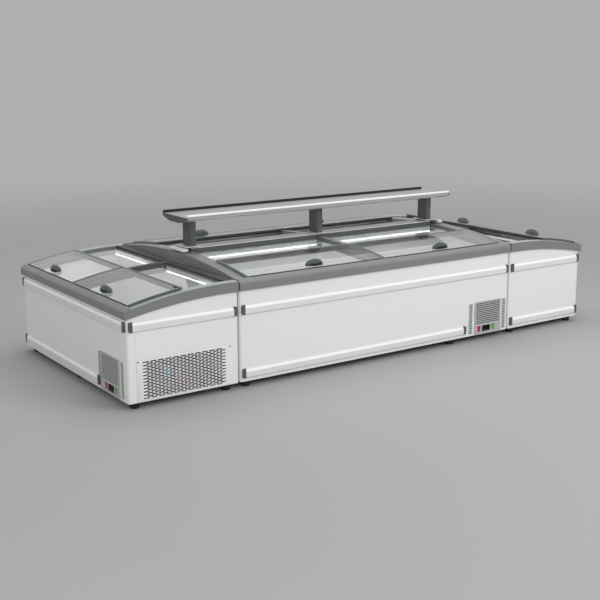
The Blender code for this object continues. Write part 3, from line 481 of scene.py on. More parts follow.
def select_faces(piece, test):
    """Select the faces whose middle and normal pass a test, in edit mode."""
    edit_all(piece)
    bpy.ops.mesh.select_mode(type="FACE")
    bpy.ops.mesh.select_all(action="DESELECT")
    finish_edit()
    for face in piece.data.polygons:
        face.select = test(face.center, face.normal)
    bpy.ops.object.mode_set(mode="EDIT")


def recess(piece, test, rim, step):
    """Inset the faces that pass a test, and push what is inside the rim by a step."""
    select_faces(piece, test)
    bpy.ops.mesh.inset(thickness=rim)
    bpy.ops.mesh.extrude_region_move(TRANSFORM_OT_translate={"value": step})
    finish_edit()


def paint(piece, material, test):
    """Give the faces that pass a test another material."""
    piece.data.materials.append(material)
    for face in piece.data.polygons:
        if test(face.center, face.normal):
            face.material_index = len(piece.data.materials) - 1


louvre_grey = moulded_plastic("grey_abs_louvre", "#b8babb", "#afb1b2", 0.5)
# Near-black slats behind the louvres and floors of the vent slots: painted shade in the gaps.
slot_and_gap_shade = moulded_plastic("painted_shade_charcoal_slat", "#1c1d1e", "#161718", 0.55)
key_grey = moulded_plastic("grey_rubber_key", "#6c6f71", "#626567", 0.6)
vent_white = moulded_plastic("white_abs_vent", "#d9dadb", "#d2d3d4", 0.45)
display_black = moulded_plastic("black_acrylic_window", "#060607", "#08090a", 0.4, 0.02, 0.00002)
shade(display_black, {"Specular IOR Level": 0.12})
red_plastic = moulded_plastic("red_polycarbonate_rocker", "#c2222f", "#b01d2a", 0.25)
green_plastic = moulded_plastic("green_polycarbonate_rocker", "#69ac2c", "#5f9f28", 0.25)

low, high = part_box("centre_control_panel")
panel_middle = (low.x + high.x) / 2
front_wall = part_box("centre_base")[0].y - base_inset
left_low, left_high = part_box("left_control_panel")
left_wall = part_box("left_base")[0].x - base_inset
on_centre = Matrix.Translation((panel_middle, front_wall, 0))
on_left = Matrix.Translation((left_wall, (left_low.y + left_high.y) / 2, 0))
on_left = on_left @ Matrix.Rotation(-math.pi / 2, 4, "Z")
panel_moves = {"left": on_left, "centre": on_centre, "right": half_turn @ on_left}

louvre_bottom, louvre_pitch, louvre_count = 0.134, 0.0155, 11
slat = block("slats", (-0.128, -0.0040, -0.0009), (0.128, 0.0040, 0.0009))
edit_all(slat)
bpy.ops.transform.rotate(value=math.radians(-34), orient_axis="X", center_override=(0, 0, 0))
bpy.ops.transform.translate(value=(0, 0.0085, louvre_bottom + louvre_pitch * 0.20))
finish_edit()
soften(slat, 0.0005)
repeat(slat, louvre_count, (0, 0, louvre_pitch))

window_half, window_rim, window_dip, key_half = 0.041, 0.004, 0.0012, 0.0055
window = block("window", (-window_half, -0.0092, 0.069), (window_half, -0.0050, 0.115))
recess(window, lambda middle, normal: normal.y < -0.9, window_rim, (0, window_dip, 0))
soften(window, 0.0012)
keys = []
for x in (-0.024, -0.008, 0.008, 0.024):
    key = block("key", (x - key_half, -0.0090, 0.074), (x + key_half, -0.0078, 0.0785))
    soften(key, 0.0005)
    keys.append(key)
keypad = join(keys, "keypad")

vent_count, vent_pitch, vent_low = 19, 0.0127, 0.0618
vent_half, vent_front, slot_floor, slot_rim = 0.020, -0.0022, -0.0008, 0.0031
vent = block("vent", (-vent_half, vent_front, vent_low), (vent_half, -0.0003, vent_low + vent_pitch))
select_faces(vent, lambda middle, normal: abs(normal.z) > 0.9)
bpy.ops.mesh.delete(type="FACE")
finish_edit()
recess(vent, lambda middle, normal: normal.y < -0.9, slot_rim, (0, slot_floor - vent_front, 0))
repeat(vent, vent_count, (0, 0, vent_pitch), use_merge_vertices=True, merge_threshold=0.0001)
edit_all(vent)
bpy.ops.mesh.fill_holes(sides=8)
finish_edit()
soften(vent, 0.0004)
vent_places = {"left": (0.180, -0.165), "centre": (-0.180, 0.175), "right": (0.180, -0.165)}
switch_rows = {"left": 0.015, "centre": -0.017, "right": 0.015}

for side, move in panel_moves.items():
    bezel = copy_solid(side + "_control_panel")
    soften(bezel, 0.0008)
    dress(bezel, louvre_grey, "island", "panel_grey", side + "_control_panel")
    dress(copy_piece(slat, side + "_louvre_slats", move), slot_and_gap_shade, "island", "panel_grey")
    row = move @ Matrix.Translation((switch_rows[side], 0, 0))
    dress(copy_piece(window, side + "_display_window", row), display_black, "island", "panel_grey")
    dress(copy_piece(keypad, side + "_display_keys", row), key_grey, "island", "panel_grey")
    for label, x in zip("ab", vent_places[side]):
        strip = copy_piece(vent, side + "_vent_strip_" + label, Matrix.Translation((x, 0, 0)))
        dress(strip, vent_white, "island", "panel_grey")
        # The slots' floors are painted near black as painted shade.
        paint(strip, slot_and_gap_shade, lambda middle, normal: normal.y < -0.9 and middle.y > slot_floor - 0.0001)
        strip.data.transform(move)
    for colour, material in (("red", red_plastic), ("green", green_plastic)):
        node = side + "_" + colour + "_switch"
        rocker = copy_solid(node)
        soften(rocker, 0.0012, 3)
        dress(rocker, material, node, "switch_" + colour, node)
for part in (slat, window, keypad, vent):
    bpy.data.objects.remove(part)


# Bumper rails: white extruded PVC clipped along the walls, with a dark moulded cap pushed on each end. A
# brighter white strip along the sloping upper face is a painted highlight.

white_pvc = moulded_plastic("white_extruded_pvc", "#e3e4e4", "#dedfdf", 0.32, 0.006, 0.0001)
# Pure white for the sloping upper face: a painted highlight.
painted_highlight_pvc = moulded_plastic("painted_highlight_white_pvc_strip", "#ffffff", "#fcfcfc", 0.25, 0.006, 0.0001)
cap_grey = moulded_plastic("dark_grey_end_cap", "#565b5d", "#4d5254", 0.45)
rails = ["left_bumper_outer_upper", "left_bumper_outer_lower", "left_bumper_bay_end_upper",
         "centre_bumper_front_upper", "centre_bumper_front_lower",
         "right_bumper_plain_end_upper", "right_bumper_plain_end_lower"]
cap_past, cap_length, cap_over, cap_proud = 0.006, 0.020, 0.0015, 0.0012
highlight_low, highlight_high = 0.011, 0.026
rail_deep, rail_half = 0.0138, 0.031
cap = block("cap", (-cap_past, -rail_deep - cap_proud, -rail_half - cap_over),
            (cap_length, -0.0004, rail_half + cap_over))
round_edges(cap, lambda middle, run: abs(run.y) > 0.01 and middle.x < 0, 0.011, 5)
round_edges(cap, lambda middle, run: middle.y < -0.01 and abs(run.y) < 0.001, 0.0035, 3)
pick(cap)
bpy.ops.object.shade_smooth_by_angle(angle=math.radians(35))
cap_moves = {"left": [], "centre": [], "right": []}
far_end = Matrix.Rotation(math.pi, 4, "Y")
for node in rails:
    rail = copy_solid(node)
    low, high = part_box(node)
    z = (low.z + high.z) / 2
    for height in (highlight_low, highlight_high):
        slice_at(rail, (0, 0, z + height), (0, 0, 1))
    soften(rail, 0.0012, 2, 15)
    dress(rail, white_pvc, "island", "white_bumper", node)
    # The band of the sloping upper face between the two cuts gets the painted highlight.
    paint(rail, painted_highlight_pvc, lambda middle, normal: 0.2 < normal.z < 0.9
          and z + highlight_low < middle.z < z + highlight_high)
    side = node.split("_")[0]
    if high.x - low.x > high.y - low.y:
        ends = [Matrix.Translation((low.x, high.y, z)), Matrix.Translation((high.x, high.y, z)) @ far_end]
    else:
        turned = Matrix.Rotation(-math.pi / 2, 4, "Z")
        ends = [Matrix.Translation((high.x, high.y, z)) @ turned,
                Matrix.Translation((high.x, low.y, z)) @ turned @ far_end]
    cap_moves[side] += ends
    other = {"left": "right", "right": "left", "centre": "centre"}[side]
    if node == "centre_bumper_front_lower":
        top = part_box("centre_bumper_front_upper")
        drop = Matrix.Translation((0, 0, z - (top[0].z + top[1].z) / 2))
        ends = [drop @ move for move in cap_moves["centre"][:2]]
    cap_moves[other] += [half_turn @ move for move in ends]
for side, moves in cap_moves.items():
    caps = join([copy_piece(cap, "cap", move) for move in moves], side + "_bumper_caps")
    dress(caps, cap_grey, "island", "handle_charcoal")
bpy.data.objects.remove(cap)


# Top frames: grey ABS mouldings, one over each cabinet, with rims, side rails, mullions and ledges for the
# panes. The centre one carries a ridge beam and has dark end panels over the end cabinets. The rims' and the
# ridge's upward faces are painted a paler grey as painted light, the ridge's top edges carry a painted
# highlight, and the ridge's sides and ledges and the end frames' inner rails and mullions are painted
# darker as painted shade.

frame_grey = moulded_plastic("grey_abs_frame", "#818383", "#7a7c7c", 0.42)
panel_dark = moulded_plastic("dark_grey_abs_panel", "#838381", "#7b7b79", 0.5)
# Dark grey for the ridge's sides and ledges under the shelf: painted shade.
painted_shade_ridge = moulded_plastic("painted_shade_grey_ridge", "#545656", "#4e5050", 0.5)
# Charcoal for the end frames' inner rails and mullions: painted shade, with less gloss.
painted_shade_inner_rail = moulded_plastic("painted_shade_charcoal_inner_rail", "#4b4c4c", "#454646", 0.6)
shade(painted_shade_inner_rail, {"Specular IOR Level": 0.25})
inner_white = moulded_plastic("white_abs_inner_face", "#e2e4e4", "#dbdddd", 0.45)
# Light grey for the bevels of the ridge's top edges: a painted highlight.
painted_highlight_ridge_edge = moulded_plastic("painted_highlight_grey_ridge_edge", "#d3d5d5", "#cbcdcd", 0.4)
# Paler grey for the upward faces of the rims and the ridge: painted light on the same moulding.
painted_light_rim_top = moulded_plastic("painted_light_grey_rim_top", "#a4a8a9", "#9ca0a1", 0.4)
bay_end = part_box("left_base")[1].y - 0.030
inner_rail = -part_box("left_base")[1].x + 0.045
ridge_bay, ledge, mullion_half = 0.061, 0.022, 0.026
bay_side, rim_side, rim_in = 2.02, 2.03, 0.012
beam_low, beam_end, touch = 0.780, 1.149, 0.002
ridge_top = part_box("shelf_post_left")[0].z
ridge_highlight_band = 0.0065
for side in ("left", "centre", "right"):
    top = copy_solid(side + "_top_frame")
    lines = [((0, y, 0), (0, 1, 0)) for y in (-bay_end, bay_end)]
    lines += [((x, 0, 0), (1, 0, 0)) for x in (-inner_rail, inner_rail)]
    lines.append(((0, 0, ridge_top - ridge_highlight_band), (0, 0, 1)))
    for at, facing in lines:
        slice_at(top, at, facing)
    soften(top, 0.0022, 3)
    dress(top, frame_grey, "island", "grey_frame", side + "_top_frame")
    if side != "centre":
        paint(top, painted_shade_inner_rail, lambda middle, normal: abs(middle.y) < bay_end and normal.z > -0.5
              and (abs(middle.x) < inner_rail + ledge
                   or abs(middle.y) < mullion_half + ledge and abs(middle.x) < bay_side))
        paint(top, painted_light_rim_top, lambda middle, normal: normal.z > 0.9
              and (abs(middle.y) > bay_end + rim_in or abs(middle.x) > rim_side))
        paint(top, inner_white, lambda middle, normal: abs(normal.x) > 0.9
              and abs(abs(middle.x) - inner_rail - ledge) < touch)
        continue
    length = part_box("centre_top_frame")[1].x
    paint(top, painted_light_rim_top, lambda middle, normal: normal.z > 0.9 and abs(middle.y) > bay_end + rim_in)
    paint(top, panel_dark, lambda middle, normal: abs(normal.x) > 0.9 and abs(middle.x) > length - 0.001)
    paint(top, painted_shade_ridge, lambda middle, normal: abs(middle.y) < ridge_bay + ledge - touch
          and middle.z > beam_low and abs(middle.x) < beam_end)
    paint(top, inner_white, lambda middle, normal: abs(normal.y) > 0.9
          and abs(abs(middle.y) - ridge_bay - ledge) < touch)
    paint(top, painted_light_rim_top, lambda middle, normal: normal.z > 0.9 and middle.z > ridge_top - 0.004)
    paint(top, painted_highlight_ridge_edge, lambda middle, normal: normal.z < 0.9 and middle.z > ridge_top - ridge_highlight_band)


# Lids and panes: curved tempered glass. The lids slide on grey side runners with a dark inner edge band, a
# rubber nose and a rubber seal; the panes lie one step lower on the frame's ledges, in grey channels. The
# centre's runners and channels are painted a lighter grey than the end ones, as painted highlight. The
# handles are moulded domes with a finger pocket in the outer side.

joints = {joint["name"]: joint for joint in frame["joints"]}


def arch_of(node, joint):
    """Radii and angles of a solid about the far axis on which its lid slides."""
    axis = joints[joint]["pos_m"]
    run = 0 if abs(joints[joint]["axis"][1]) > 0.5 else 1
    points = [(v.co[run] - axis[run], v.co.z - axis[2]) for v in solids[node].data.vertices]
    radii = [math.hypot(u, z) for u, z in points]
    angles = [math.atan2(u, z) for u, z in points]
    return min(radii), max(radii), min(angles), max(angles)


def arch_strip(name, joint, radii, angles, span, steps):
    """A band swept about a lid's far axis; span is its run along that axis."""
    axis = Vector(joints[joint]["pos_m"])
    radius = (radii[0] + radii[1]) / 2
    thick = radii[1] - radii[0]
    length = span[1] - span[0]
    start = angles[0]
    out = radius * math.sin(start)
    rise = axis.z + radius * math.cos(start)
    bpy.ops.object.select_all(action="DESELECT")
    if abs(joints[joint]["axis"][1]) > 0.5:
        bpy.ops.mesh.primitive_plane_add(size=1, location=(axis.x + out, sum(span) / 2, rise),
                                         rotation=(0, math.pi / 2 + start, 0))
        size, spindle = (thick, length, 1), (0, -1, 0)
    else:
        bpy.ops.mesh.primitive_plane_add(size=1, location=(sum(span) / 2, axis.y + out, rise),
                                         rotation=(-math.pi / 2 - start, 0, 0))
        size, spindle = (length, thick, 1), (1, 0, 0)
    bpy.context.object.scale = size
    piece = settle(name)
    edit_all(piece)
    bpy.ops.mesh.spin(steps=steps, angle=angles[1] - start, center=axis, axis=spindle)
    finish_edit()
    face_outward(piece)
    return piece


# Clear float glass with a breath of green, polished, with faint wiping marks that only show in reflections.
lid_glass, place = new_finish("tempered_curved_glass")
wiped = add_node(lid_glass, "TexNoise", {"Vector": place, "Scale": 5.0, "Detail": 6.0})
haze = add_node(lid_glass, "MapRange", {"Value": wiped.outputs["Fac"], "From Min": 0.35, "From Max": 0.75,
                                        "To Min": 0.012, "To Max": 0.05})
shade(lid_glass, {"Base Color": linear("#fbfefd"), "Roughness": haze.outputs["Result"], "IOR": 1.52,
                  "Transmission Weight": 1.0})
band_grey = moulded_plastic("dark_grey_edge_band", "#585e5d", "#515756", 0.4)
# The end lids' runners and channels are dark grey; the centre's are a lighter grey, a painted highlight.
runner_grey_and_highlight = {"end": moulded_plastic("dark_grey_abs_runner", "#5c6161", "#555a5a", 0.42),
               "centre": moulded_plastic("grey_abs_runner", "#737878", "#6c7171", 0.42)}
# Black also for the pads under the end posts' flanges, which are painted shade.
seal_and_pad_shade_black = moulded_plastic("black_epdm_seal_and_pad_shade", "#2c2e2f", "#343637", 0.55)
handle_grey = moulded_plastic("charcoal_abs_handle", "#4a4e50", "#434749", 0.38)

glass_thick = 0.006
lid_rise = 0.016
band_width = 0.018
glass_short, glass_narrow = 0.004, 0.003
runner_wide, channel_wide, channel_thick = 0.013, 0.009, 0.0025
nose_wide, seal_wide, seal_in = 0.007, 0.029, 0.001
pocket_wide, pocket_back, pocket_tall, pocket_floor = 0.62, 0.15, 0.40, 0.002
models = {"end": ("left_front", "left_front_lid_slide"),
          "centre": ("centre_front_left", "centre_front_left_lid_slide")}
parts = {}
for kind, (bay, joint) in models.items():
    run = 1 if kind == "end" else 0
    seal_low, top, first, last = arch_of(bay + "_lid", joint)
    arch = top - lid_rise
    span = [corner[run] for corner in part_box(bay + "_lid")]
    pane_span = [corner[run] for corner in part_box(bay + "_pane")]
    glass = arch_strip("lid_glass", joint, (top - glass_thick, top),
                       (first + glass_short / arch, last - glass_short / arch),
                       (span[0] + glass_narrow, span[1] - glass_narrow), 24)
    bpy.ops.object.shade_smooth_by_angle(angle=math.radians(30))
    band = arch_strip("lid_band", joint, (top - glass_thick - 0.001, top + 0.0015),
                      (last - band_width / arch, last), span, 3)
    soften(band, 0.0015, 3)
    sides = []
    for start, end in ((span[0], span[0] + runner_wide), (span[1] - runner_wide, span[1])):
        sides.append(arch_strip("runner", joint, (arch + 0.0008, top + 0.001),
                                (first, last - (band_width + 0.001) / arch), (start, end), 24))
    runners = join(sides, "lid_runners")
    soften(runners, 0.0012)
    nose = (span[0] + runner_wide, span[1] - runner_wide)
    lips = [arch_strip("nose", joint, (arch + 0.001, top + 0.001), (first, first + nose_wide / arch),
                       nose, 2)]
    seal_span = (pane_span[0] + seal_in, pane_span[1] - seal_in)
    lips.append(arch_strip("seal", joint, (seal_low + 0.0005, top - glass_thick - 0.0012),
                           (last - seal_wide / arch, last - seal_in / arch), seal_span, 3))
    seals = join(lips, "lid_seals")
    soften(seals, 0.0008)

    low_r, high_r, pane_first, pane_last = arch_of(bay + "_pane", joint)
    pane = arch_strip("pane_glass", joint, (low_r, high_r), (pane_first, pane_last), pane_span, 24)
    bpy.ops.object.shade_smooth_by_angle(angle=math.radians(30))
    channels = []
    inner = (pane_span[0] + channel_wide, pane_span[1] - channel_wide)
    for start, end in ((pane_span[0], inner[0]), (inner[1], pane_span[1])):
        channels.append(arch_strip("channel", joint, (high_r, high_r + channel_thick),
                                   (pane_first, pane_last), (start, end), 24))
    channels.append(arch_strip("channel", joint, (high_r, high_r + channel_thick),
                               (pane_last - channel_wide / arch, pane_last), inner, 2))
    channel = join(channels, "pane_channel")
    soften(channel, 0.0006)

    low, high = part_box(bay + "_handle")
    foot, crest, near, far = arch_of(bay + "_handle", joint)
    half = (high[run] - low[run]) / 2
    reach = (far - near) / 2 * foot
    tall = crest - foot
    bpy.ops.object.select_all(action="DESELECT")
    bpy.ops.mesh.primitive_uv_sphere_add(segments=40, ring_count=20, radius=1, scale=(half, reach, tall))
    handle = settle("handle")
    slice_at(handle, (0, 0, 0), (0, 0, 1), clear_inner=True, use_fill=True)
    face_outward(handle)
    pocket = block("pocket", (-pocket_wide * half, -reach - 0.010, pocket_floor),
                   (pocket_wide * half, -pocket_back * reach, pocket_tall * tall))
    cut_out(handle, pocket)
    soften(handle, 0.0009, 2, 50)
    middle = (near + far) / 2
    axis = Vector(joints[joint]["pos_m"])
    if kind == "end":
        seat = Matrix.Translation((axis.x + foot * math.sin(middle), (low.y + high.y) / 2,
                                   axis.z + foot * math.cos(middle)))
        seat = seat @ Matrix.Rotation(middle, 4, "Y") @ Matrix.Rotation(-math.pi / 2, 4, "Z")
    else:
        seat = Matrix.Translation(((low.x + high.x) / 2, axis.y + foot * math.sin(middle),
                                   axis.z + foot * math.cos(middle)))
        seat = seat @ Matrix.Rotation(-middle, 4, "X")
    handle.data.transform(seat)
    parts[kind] = (glass, band, runners, seals, pane, channel, handle)

end_shift = Matrix.Translation((0, 2 * abs(joints["left_front_lid_slide"]["pos_m"][1]), 0))
centre_shift = Matrix.Translation((2 * abs(joints["centre_front_left_lid_slide"]["pos_m"][0]), 0, 0))
bays = {
    "left_front": ("end", Matrix()), "left_rear": ("end", end_shift),
    "right_rear": ("end", half_turn), "right_front": ("end", half_turn @ end_shift),
    "centre_front_left": ("centre", Matrix()), "centre_front_right": ("centre", centre_shift),
    "centre_rear_right": ("centre", half_turn), "centre_rear_left": ("centre", half_turn @ centre_shift),
}
for bay, (kind, move) in bays.items():
    copies = [copy_piece(part, bay + "_" + part.name.split(".")[0], move) for part in parts[kind]]
    glass, band, runners, seals, pane, channel, handle = copies
    glass.visible_shadow = False
    pane.visible_shadow = False
    lid = bay + "_lid"
    dress(glass, lid_glass, lid, "lid_glass", lid)
    dress(band, band_grey, lid, "grey_frame")
    dress(runners, runner_grey_and_highlight[kind], lid, "grey_frame")
    dress(seals, seal_and_pad_shade_black, lid, "grey_frame")
    dress(pane, lid_glass, "island", "lid_glass", bay + "_pane")
    dress(channel, runner_grey_and_highlight[kind], "island", "grey_frame")
    dress(handle, handle_grey, lid, "handle_charcoal", bay + "_handle")
for kind in parts:
    for part in parts[kind]:
        bpy.data.objects.remove(part)


# Lamps: thin strips in aluminium carriers along the lower edge of the ridge's and the inner rails' inner
# faces. They light the tubs, and show through the panes as a bright line.

lamp_aluminium = bare_metal("anodised_lamp_carrier", "#c9cacb", 0.35, (0.2, 6, 6))
# Opal diffuser lit from behind: an even white glow, a little weaker where the diodes are furthest apart.
lamp_lens, place = new_finish("opal_lamp_lens")
diodes = add_node(lamp_lens, "TexWave", {"Vector": place, "Scale": 30.0}, bands_direction="X")
glow = add_node(lamp_lens, "MapRange", {"Value": diodes.outputs["Fac"], "To Min": 2.6, "To Max": 3.0})
shade(lamp_lens, {"Base Color": linear("#f3f3ee"), "Roughness": 0.4, "Emission Color": linear("#fffdf6"),
                  "Emission Strength": glow.outputs["Result"]})

lamp_high, lamp_thick, lamp_rim, lamp_proud = 0.012, 0.003, 0.002, 0.0015
lamp_start, lamp_stop = -1.127, -mullion_half - ledge
lamp_places = {"end": (-inner_rail - ledge, -bay_end + ledge, 0.6745),
               "centre": (lamp_start, -ridge_bay - ledge, 0.7415)}
lamps = {}
for kind, corner in lamp_places.items():
    low = Vector(corner)
    if kind == "end":
        high = Vector((low.x + lamp_thick, lamp_stop, low.z + lamp_high))
        facing = Vector((-1, 0, 0))
    else:
        high = Vector((lamp_stop, low.y + lamp_thick, low.z + lamp_high))
        facing = Vector((0, -1, 0))
    carrier = block("lamp_carrier", low, high)
    recess(carrier, lambda middle, normal: normal.dot(facing) > 0.9, lamp_rim, -0.001 * facing)
    soften(carrier, 0.0003)
    edge = Vector((lamp_rim, lamp_rim, lamp_rim))
    edge = edge - Vector((abs(facing.x), abs(facing.y), 0)) * lamp_rim
    lens = block("lamp_lens", low + edge + facing * lamp_proud, high - edge)
    soften(lens, 0.0006, 3)
    lamps[kind] = (carrier, lens)
for bay, (kind, move) in bays.items():
    for part, material in zip(lamps[kind], (lamp_aluminium, lamp_lens)):
        dress(copy_piece(part, bay + "_" + part.name.split(".")[0], move), material, "island", "white_bumper")
for kind in lamps:
    for part in lamps[kind]:
        bpy.data.objects.remove(part)


# Saddles and post feet: light sheet folded into shallow covers over the end arches at the ridge, and pressed
# flanges under the posts, screwed down through the ridge beam. The flanges' raised rims are painted in the
# saddles' off-white as painted highlight round their grey tops. The end posts' flanges stand on black pads,
# a painted shadow under their edges.

saddle_white_and_rim_highlight = painted_steel("off_white_coated_saddle", "#dadad8", "#d3d3d1", 0.36)
grey_sheet = painted_steel("light_grey_coated_flange", "#b4b4b2", "#adadab", 0.36)
rail_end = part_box("centre_top_frame")[0].x
saddle_deep, saddle_wide, saddle_half = 0.016, 0.054, 0.106
for label, near in (("left", rail_end + 0.001), ("right", -rail_end - 0.001 - saddle_wide)):
    saddle = block("saddle_" + label, (near, -saddle_half, ridge_top - saddle_deep),
                   (near + saddle_wide, saddle_half, ridge_top + 0.003))
    select_faces(saddle, lambda middle, normal: normal.z < -0.9)
    bpy.ops.mesh.delete(type="FACE")
    finish_edit()
    round_edges(saddle, lambda middle, run: middle.z > ridge_top or abs(run.z) > 0.01, 0.009, 5)
    apply_modifier(saddle, "SOLIDIFY", thickness=0.0022, offset=-1)
    soften(saddle, 0.0006)
    dress(saddle, saddle_white_and_rim_highlight, "island", "shelf_grey")
flange_thick, flange_rim, flange_dip = 0.006, 0.005, 0.0015
pad_in, pad_sunk = 0.010, 0.003
flange_sizes = {"left": (0.052, 0.028, 0.030, 0.014), "middle": (0.010, 0.010, 0.010, 0.005),
                "right": (0.028, 0.052, 0.030, 0.014)}
for label, (left, right, aside, rise) in flange_sizes.items():
    low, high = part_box("shelf_post_" + label)
    flange_top = ridge_top + rise
    flange = block("post_flange_" + label, (low.x - left, low.y - aside, flange_top - flange_thick),
                   (high.x + right, high.y + aside, flange_top))
    round_edges(flange, lambda middle, run: abs(run.z) > 0.003, 0.009, 6)
    recess(flange, lambda middle, normal: normal.z > 0.9, flange_rim, (0, 0, -flange_dip))
    soften(flange, 0.0012)
    dress(flange, saddle_white_and_rim_highlight, "island", "shelf_grey")
    # The rim keeps the off-white as a painted highlight; the recessed top is grey.
    paint(flange, grey_sheet, lambda middle, normal: normal.z > 0.9
          and middle.z < flange_top - flange_dip / 2)
    # The end posts' flanges stand on black pads, a painted shadow under their edges.
    if label != "middle":
        pad = block("post_pad_" + label, (low.x - left + pad_in, low.y + pad_sunk, ridge_top - pad_sunk),
                    (high.x + right - pad_in, high.y - pad_sunk, flange_top - flange_thick + 0.001))
        soften(pad, 0.002)
        dress(pad, seal_and_pad_shade_black, "island", "post_grey")


# Posts: dark grey coated extrusions, sawn to length and ribbed down both broad faces. They stand on the
# ridge, each through its flange, and carry the shelf.

post_dark = painted_steel("dark_grey_coated_extrusion", "#595a5c", "#515254", 0.4)
rib_pitch, rib_half = 0.0108, 0.048
for label in ("left", "middle", "right"):
    low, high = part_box("shelf_post_" + label)
    post = block("post_" + label, low, high)
    round_edges(post, lambda middle, run: abs(run.z) > 0.1, 0.006, 4)
    for step in range(-5, 6):
        slice_at(post, (0, step * rib_pitch, 0), (0, 1, 0))
    select_faces(post, lambda middle, normal: abs(normal.x) > 0.9 and abs(middle.y) < rib_half
                 and round(middle.y / rib_pitch - 0.5) % 2 == 0)
    bpy.ops.mesh.inset(thickness=0.0012, use_individual=True)
    bpy.ops.transform.shrink_fatten(value=-0.0016)
    finish_edit()
    soften(post, 0.0005)
    dress(post, post_dark, "island", "post_grey", "shelf_post_" + label)


# Shelf: a grey coated steel tray with a bellied underside, a white front trim, a black rear lip and dark
# moulded end caps on the belly.

shelf_grey = painted_steel("light_grey_coated_shelf", "#d2d2d0", "#cacac8", 0.38)
deck_grey = painted_steel("grey_coated_deck", "#949492", "#8c8c8a", 0.42)
fascia_grey = painted_steel("warm_grey_coated_fascia", "#a8a4a2", "#a19d9b", 0.4)
trim_white = moulded_plastic("white_pvc_trim", "#fbfbfb", "#f6f6f6", 0.35)
lip_black = moulded_plastic("black_pvc_lip", "#191a1a", "#141515", 0.4)
end_grey = moulded_plastic("dark_grey_abs_end_cap", "#565756", "#4f504f", 0.45)
low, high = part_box("shelf")
cap_top = high.z - 0.0175
end_long, end_out, end_swell = 0.010, 0.004, (1, 1.008, 1.04)
trim_size, trim_in, trim_front, trim_proud = 0.0125, 0.001, 0.002, 0.0012
lip_thick, lip_deep, lip_past, lip_proud = 0.0135, 0.036, 0.002, 0.003
deck = copy_solid("shelf")
for sign in (-1, 1):
    end = copy_piece(deck, "shelf_end_cap_" + ("left" if sign < 0 else "right"), Matrix())
    for at, facing in (((sign * (high.x - end_long), 0, 0), (sign, 0, 0)), ((0, 0, cap_top), (0, 0, -1))):
        slice_at(end, at, facing, clear_inner=True, use_fill=True)
        face_outward(end)
    edit_all(end)
    bpy.ops.transform.translate(value=(sign * end_out, 0, 0))
    bpy.ops.transform.resize(value=end_swell, center_override=(0, 0, cap_top))
    finish_edit()
    soften(end, 0.0012)
    dress(end, end_grey, "island", "post_grey")
soften(deck, 0.0015)
dress(deck, shelf_grey, "island", "shelf_grey", "shelf")
paint(deck, deck_grey, lambda middle, normal: normal.z > 0.9)
paint(deck, fascia_grey, lambda middle, normal: normal.y < -0.7 and middle.y < low.y + 0.004)
trim = block("shelf_front_trim", (low.x + trim_in, low.y - trim_front, high.z - trim_size),
             (high.x - trim_in, low.y + trim_size, high.z + trim_proud))
soften(trim, 0.003, 3)
dress(trim, trim_white, "island", "white_bumper")
lip = block("shelf_rear_lip", (low.x - lip_past, high.y - lip_thick, high.z - lip_deep),
            (high.x + lip_past, high.y + lip_proud, high.z + lip_proud))
soften(lip, 0.003, 3)
dress(lip, lip_black, "island", "post_grey")


# Studio: a pale paper floor, soft light from the front right, the left and above, and a camera at the
# photograph's viewing angle. Its lens and shift are those that the island's own edges gave.

# A matt paper sweep, darker round the object as painted shade, that pales away until it meets the backdrop.
floor_pale, place = new_finish("pale_studio_floor")
away = add_node(floor_pale, "VectorMath", {0: place}, operation="LENGTH")
shade_falloff = add_node(floor_pale, "MapRange", {"Value": away.outputs["Value"], "From Min": 2.5, "From Max": 14.0},
                interpolation_type="SMOOTHSTEP")
paper = add_node(floor_pale, "MixRGB", {"Fac": shade_falloff.outputs["Result"], "Color1": linear("#a6a6a6"),
                                        "Color2": linear("#d9d9d9")})
shade(floor_pale, {"Base Color": paper.outputs["Color"], "Roughness": 0.9})
bpy.ops.object.select_all(action="DESELECT")
bpy.ops.mesh.primitive_plane_add(size=400, location=(0, 0, 0))
floor = bpy.context.object
floor.name = "studio_floor"
floor.data.materials.append(floor_pale)

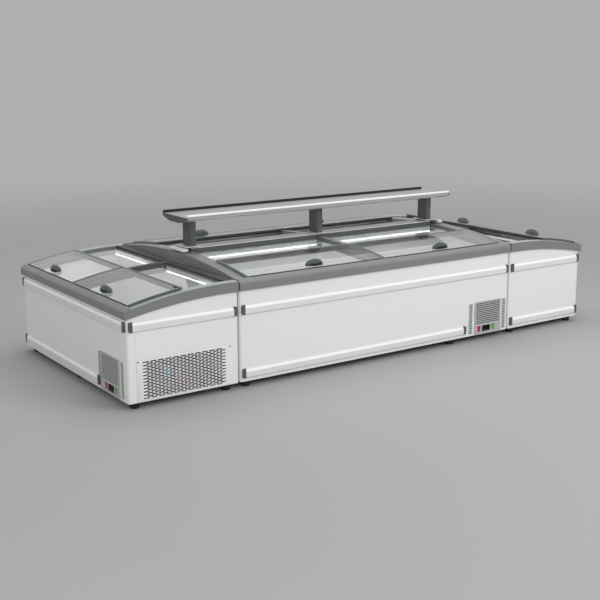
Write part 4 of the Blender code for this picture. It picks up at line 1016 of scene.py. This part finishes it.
# The sky lights evenly in white. The camera sees it as a soft grey backdrop, and gloss mirrors a paler one.
world = bpy.data.worlds.new("studio")
bpy.context.scene.world = world
world.use_nodes = True
path = add_node(world, "LightPath", {})
sky = add_node(world, "Background", {"Color": linear("#ffffff"), "Strength": 0.58})
pale = add_node(world, "Background", {"Color": linear("#dedede"), "Strength": 1.0})
backdrop = add_node(world, "Background", {"Color": linear("#b0b0b0"), "Strength": 1.0})
mirrored = add_node(world, "MixShader", {0: path.outputs["Is Glossy Ray"], 1: sky.outputs[0],
                                         2: pale.outputs[0]})
through = add_node(world, "MixShader", {0: path.outputs["Is Transmission Ray"], 1: mirrored.outputs[0],
                                        2: backdrop.outputs[0]})
seen = add_node(world, "MixShader", {0: path.outputs["Is Camera Ray"], 1: through.outputs[0],
                                     2: backdrop.outputs[0]})
set_sockets(world, world.node_tree.nodes["World Output"], {"Surface": seen.outputs[0]})


def soft_lamp(name, place, aim, size, power):
    """A softbox that lights the part but isn't mirrored in it, so the lids stay clear from every side."""
    bpy.ops.object.light_add(type="AREA", location=place)
    lamp = bpy.context.object
    lamp.name = name
    lamp.data.size = size
    lamp.data.energy = power
    lamp.visible_glossy = False
    lamp.rotation_euler = (Vector(aim) - Vector(place)).to_track_quat("-Z", "Y").to_euler()


soft_lamp("front_softbox", (2.2, -6.0, 4.5), (0, 0, 0.4), 4.0, 195)
soft_lamp("left_softbox", (-6.0, -6.5, 3.0), (-1.5, 0, 0.4), 3.0, 90)
soft_lamp("top_softbox", (0.0, 0.5, 5.0), (0, 0, 0.4), 4.5, 120)

camera_place = Vector((-4.7819, -6.7381, 2.1541))
yaw, pitch, roll = 0.6068, 0.1965, -0.0034
ahead = Vector((math.sin(yaw) * math.cos(pitch), math.cos(yaw) * math.cos(pitch), -math.sin(pitch)))
across = Vector((math.cos(yaw), -math.sin(yaw), 0))
upward = across.cross(ahead)
level = math.cos(roll) * across + math.sin(roll) * upward
upright = -math.sin(roll) * across + math.cos(roll) * upward
bpy.ops.object.camera_add(location=camera_place)
camera = bpy.context.object
turn = Matrix((level, upright, -ahead)).transposed().to_4x4()
camera.matrix_world = Matrix.Translation(camera_place) @ turn
picture, sensor, focal_length, centre_across, centre_down = 600, 36, 1056.30, 304.90, 272.48
camera.data.sensor_width = sensor
camera.data.lens = focal_length / picture * sensor
camera.data.shift_x = (picture / 2 - centre_across) / picture
camera.data.shift_y = (centre_down - picture / 2) / picture
bpy.context.scene.camera = camera
bpy.context.scene.view_settings.view_transform = "Standard"
